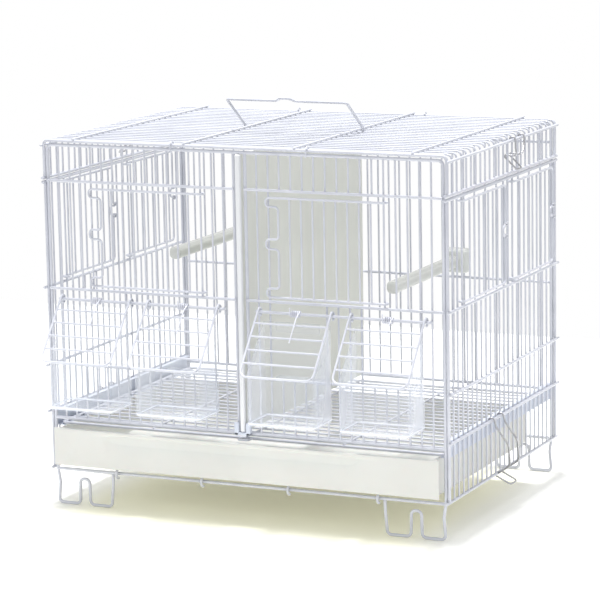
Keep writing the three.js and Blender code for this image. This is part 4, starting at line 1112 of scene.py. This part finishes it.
# %% Handle
LEAN = math.radians(53.0)
HANDLE_CURL = (UPRIGHT + HANDLE) / 2 * SQUARE_REACH + FIT
BAIL_HALF, BAIL_HEIGHT, RISE_HEIGHT = 68.5, 53, 58
lean_up = np.array([0.0, -math.sin(LEAN), math.cos(LEAN)])
lean_back = np.array([0.0, math.cos(LEAN), math.sin(LEAN)])
right_half = [(5, RISE_HEIGHT), (11, BAIL_HEIGHT), (BAIL_HALF, BAIL_HEIGHT), (BAIL_HALF, 0)]
left_half = [(-x, height) for x, height in right_half[::-1]]
bail = [np.array([x, 0.0, ROOF_Z]) + lean_up * height + lean_back * HANDLE_CURL
        for x, height in left_half + right_half]
line = hung_bow((0, ROOF_Z), lean_back * HANDLE_CURL, bail, 3.5, 8)
piece("carry_handle", [tubes(line, HANDLE, 14)], COAT)

# %% [markdown]
# ## Perches
# A perch plugs into a clamp that grips two uprights of the back. The rod has shallow flutes for the bird's
# feet, and a slightly thicker knob at its free end.

# %% Perches and clamps
PERCH_LENGTH, PERCH_RADIUS = 171.5, 6.4


def fluted_rod(x, z, start, end):
    """Rings along Y of a square with soft corners, |x|^3 + |z|^3 = r^3, with shallow flutes and a knob."""
    angle = np.arange(64) * 2 * np.pi / 64
    square = (np.abs(np.cos(angle)) ** 3 + np.abs(np.sin(angle)) ** 3) ** (-1 / 3)
    knob = start + np.array([0, 0.3, 1.2, 2.6, 3.0, 3.4])
    y = np.concatenate([knob, np.linspace(start + 4, end - 1, 20), [end - 0.3, end]])
    size = np.array([5.6, 6.2, 6.6, 6.7, 6.6, 6.4] + [PERCH_RADIUS] * 21 + [PERCH_RADIUS])
    size[-2:] -= 0.3, 0.8
    flute = np.array([0.0] * 6 + [0.015] * 20 + [0.0, 0.0])
    radii = size[:, None] * square * (1 - flute[:, None] * (0.5 + 0.5 * np.cos(16 * angle)))
    return stack(columns(x + radii * np.cos(angle), y[:, None], z + radii * np.sin(angle))[:, ::-1])


clamp_in, clamp_out = POST_Y - UPRIGHT / 2 - FIT, POST_Y + UPRIGHT / 2 + FIT
perch_end = clamp_in - 13 - FIT
for name, gap, z in (("left", 6.5, 253.0), ("right", 26.5, 230.0)):
    x = float(front_x(gap))
    clamp = [soft_block((x - 15.5, clamp_in - 13, z - 13), (x + 15.5, clamp_in, z + 14), 4.0, 1),
             soft_block((x - 4, clamp_in - 1, z - 4), (x + 4, clamp_out + 1, z + 4), 0.6, 1),
             soft_block((x - 12, clamp_out, z - 11), (x + 12, clamp_out + 4, z + 11), 1.2, 1)]
    piece(f"{name}_perch_clamp", clamp, CLAMP, 30.0)
    piece(f"{name}_perch", [fluted_rod(x, z, perch_end - PERCH_LENGTH, perch_end)], PERCH, 50.0)

# %% [markdown]
# ## Studio
# A pale floor, a white ground behind, and soft lamps. Only the camera, reflections and rays sent through a
# surface meet the white of the world. All other rays meet a dimmer and slightly cooler light. Light that
# passes the cream plastic warms the shadow under the cage, and that warmth is painted: the floor's colour is
# yellower under the cage and fades to white around it, and the floor glows faintly in the same colour, a
# painted light that lifts its shadow.

# %% Floor
FLOOR_HALF, FOOTPRINT_HALF = 0.9, (0.235, 0.20)
floor_corners = [(x * FLOOR_HALF, y * FLOOR_HALF, 0) for x, y in ((-1, -1), (1, -1), (1, 1), (-1, 1))]
floor_mesh = bpy.data.meshes.new("studio_floor")
floor_mesh.from_pydata(floor_corners, [], [(0, 1, 2, 3)])
floor = add_object("studio_floor", floor_mesh)
floor_material = bpy.data.materials.new("studio_floor_white")
floor_material.use_nodes = True
floor_mesh.materials.append(floor_material)
tree = floor_material.node_tree
place = coordinate(tree)
shares = []
for axis, half in zip("XY", FOOTPRINT_HALF):
    shares.append(calculate(tree, "ABSOLUTE", calculate(tree, "DIVIDE", one_axis(tree, place, axis), half)))
# Painted warm shade: the floor's colour is yellower under the cage.
away = spread(tree, calculate(tree, "MAXIMUM", *shares), 0.68, 1.03, curve="SMOOTHSTEP")
painted_floor_warmth = blend(tree, away, (1.0, 0.985, 0.80, 1), (1.0, 1.0, 0.97, 1))
floor_shader = shader_of(floor_material)
tree.links.new(painted_floor_warmth, floor_shader.inputs["Base Color"])
tree.links.new(painted_floor_warmth, floor_shader.inputs["Emission Color"])
# A faint glow of the floor in the same colour: painted light that lifts the shadow under the cage.
floor_shader.inputs["Emission Strength"].default_value = 0.1
floor_shader.inputs["Roughness"].default_value = 0.6

# %% World
world = bpy.data.worlds.new("studio_world")
bpy.context.scene.world = world
world.use_nodes = True
tree = world.node_tree
tree.nodes.clear()
rays = add_node(tree, "LightPath").outputs
seen = calculate(tree, "MAXIMUM", rays["Is Camera Ray"], rays["Is Glossy Ray"])
seen_or_through = calculate(tree, "MAXIMUM", seen, rays["Is Transmission Ray"])
light = add_node(tree, "Background", {"Color": (0.97, 0.98, 1.0, 1), "Strength": 0.62}).outputs[0]
ground = add_node(tree, "Background", {"Color": (1, 1, 1, 1), "Strength": 1.0}).outputs[0]
mixed = add_node(tree, "MixShader", {"Fac": seen_or_through, 1: light, 2: ground}).outputs[0]
add_node(tree, "OutputWorld", {"Surface": mixed})


# %% Lamps
def lamp(name, place, target, size, watts):
    """A square soft lamp that looks at the target."""
    data = bpy.data.lights.new(name, "AREA")
    data.size, data.energy = size, watts
    away = np.asarray(place, float) - np.asarray(target, float)
    z_axis = away / np.linalg.norm(away)
    x_axis = np.cross(Z, z_axis)
    x_axis /= np.linalg.norm(x_axis)
    place_by_axes(add_object(name, data), x_axis, np.cross(z_axis, x_axis), z_axis, place)


lamp("overhead_lamp", (-0.15, 0.12, 2.6), (0, 0, 0), 0.45, 84)
lamp("key_lamp", (-1.2, -2.4, 1.6), (0, 0, 0.2), 1.6, 10)
lamp("fill_lamp", (2.4, -1.0, 1.0), (0, 0, 0.2), 1.8, 6)
bpy.context.scene.view_settings.view_transform = "Standard"
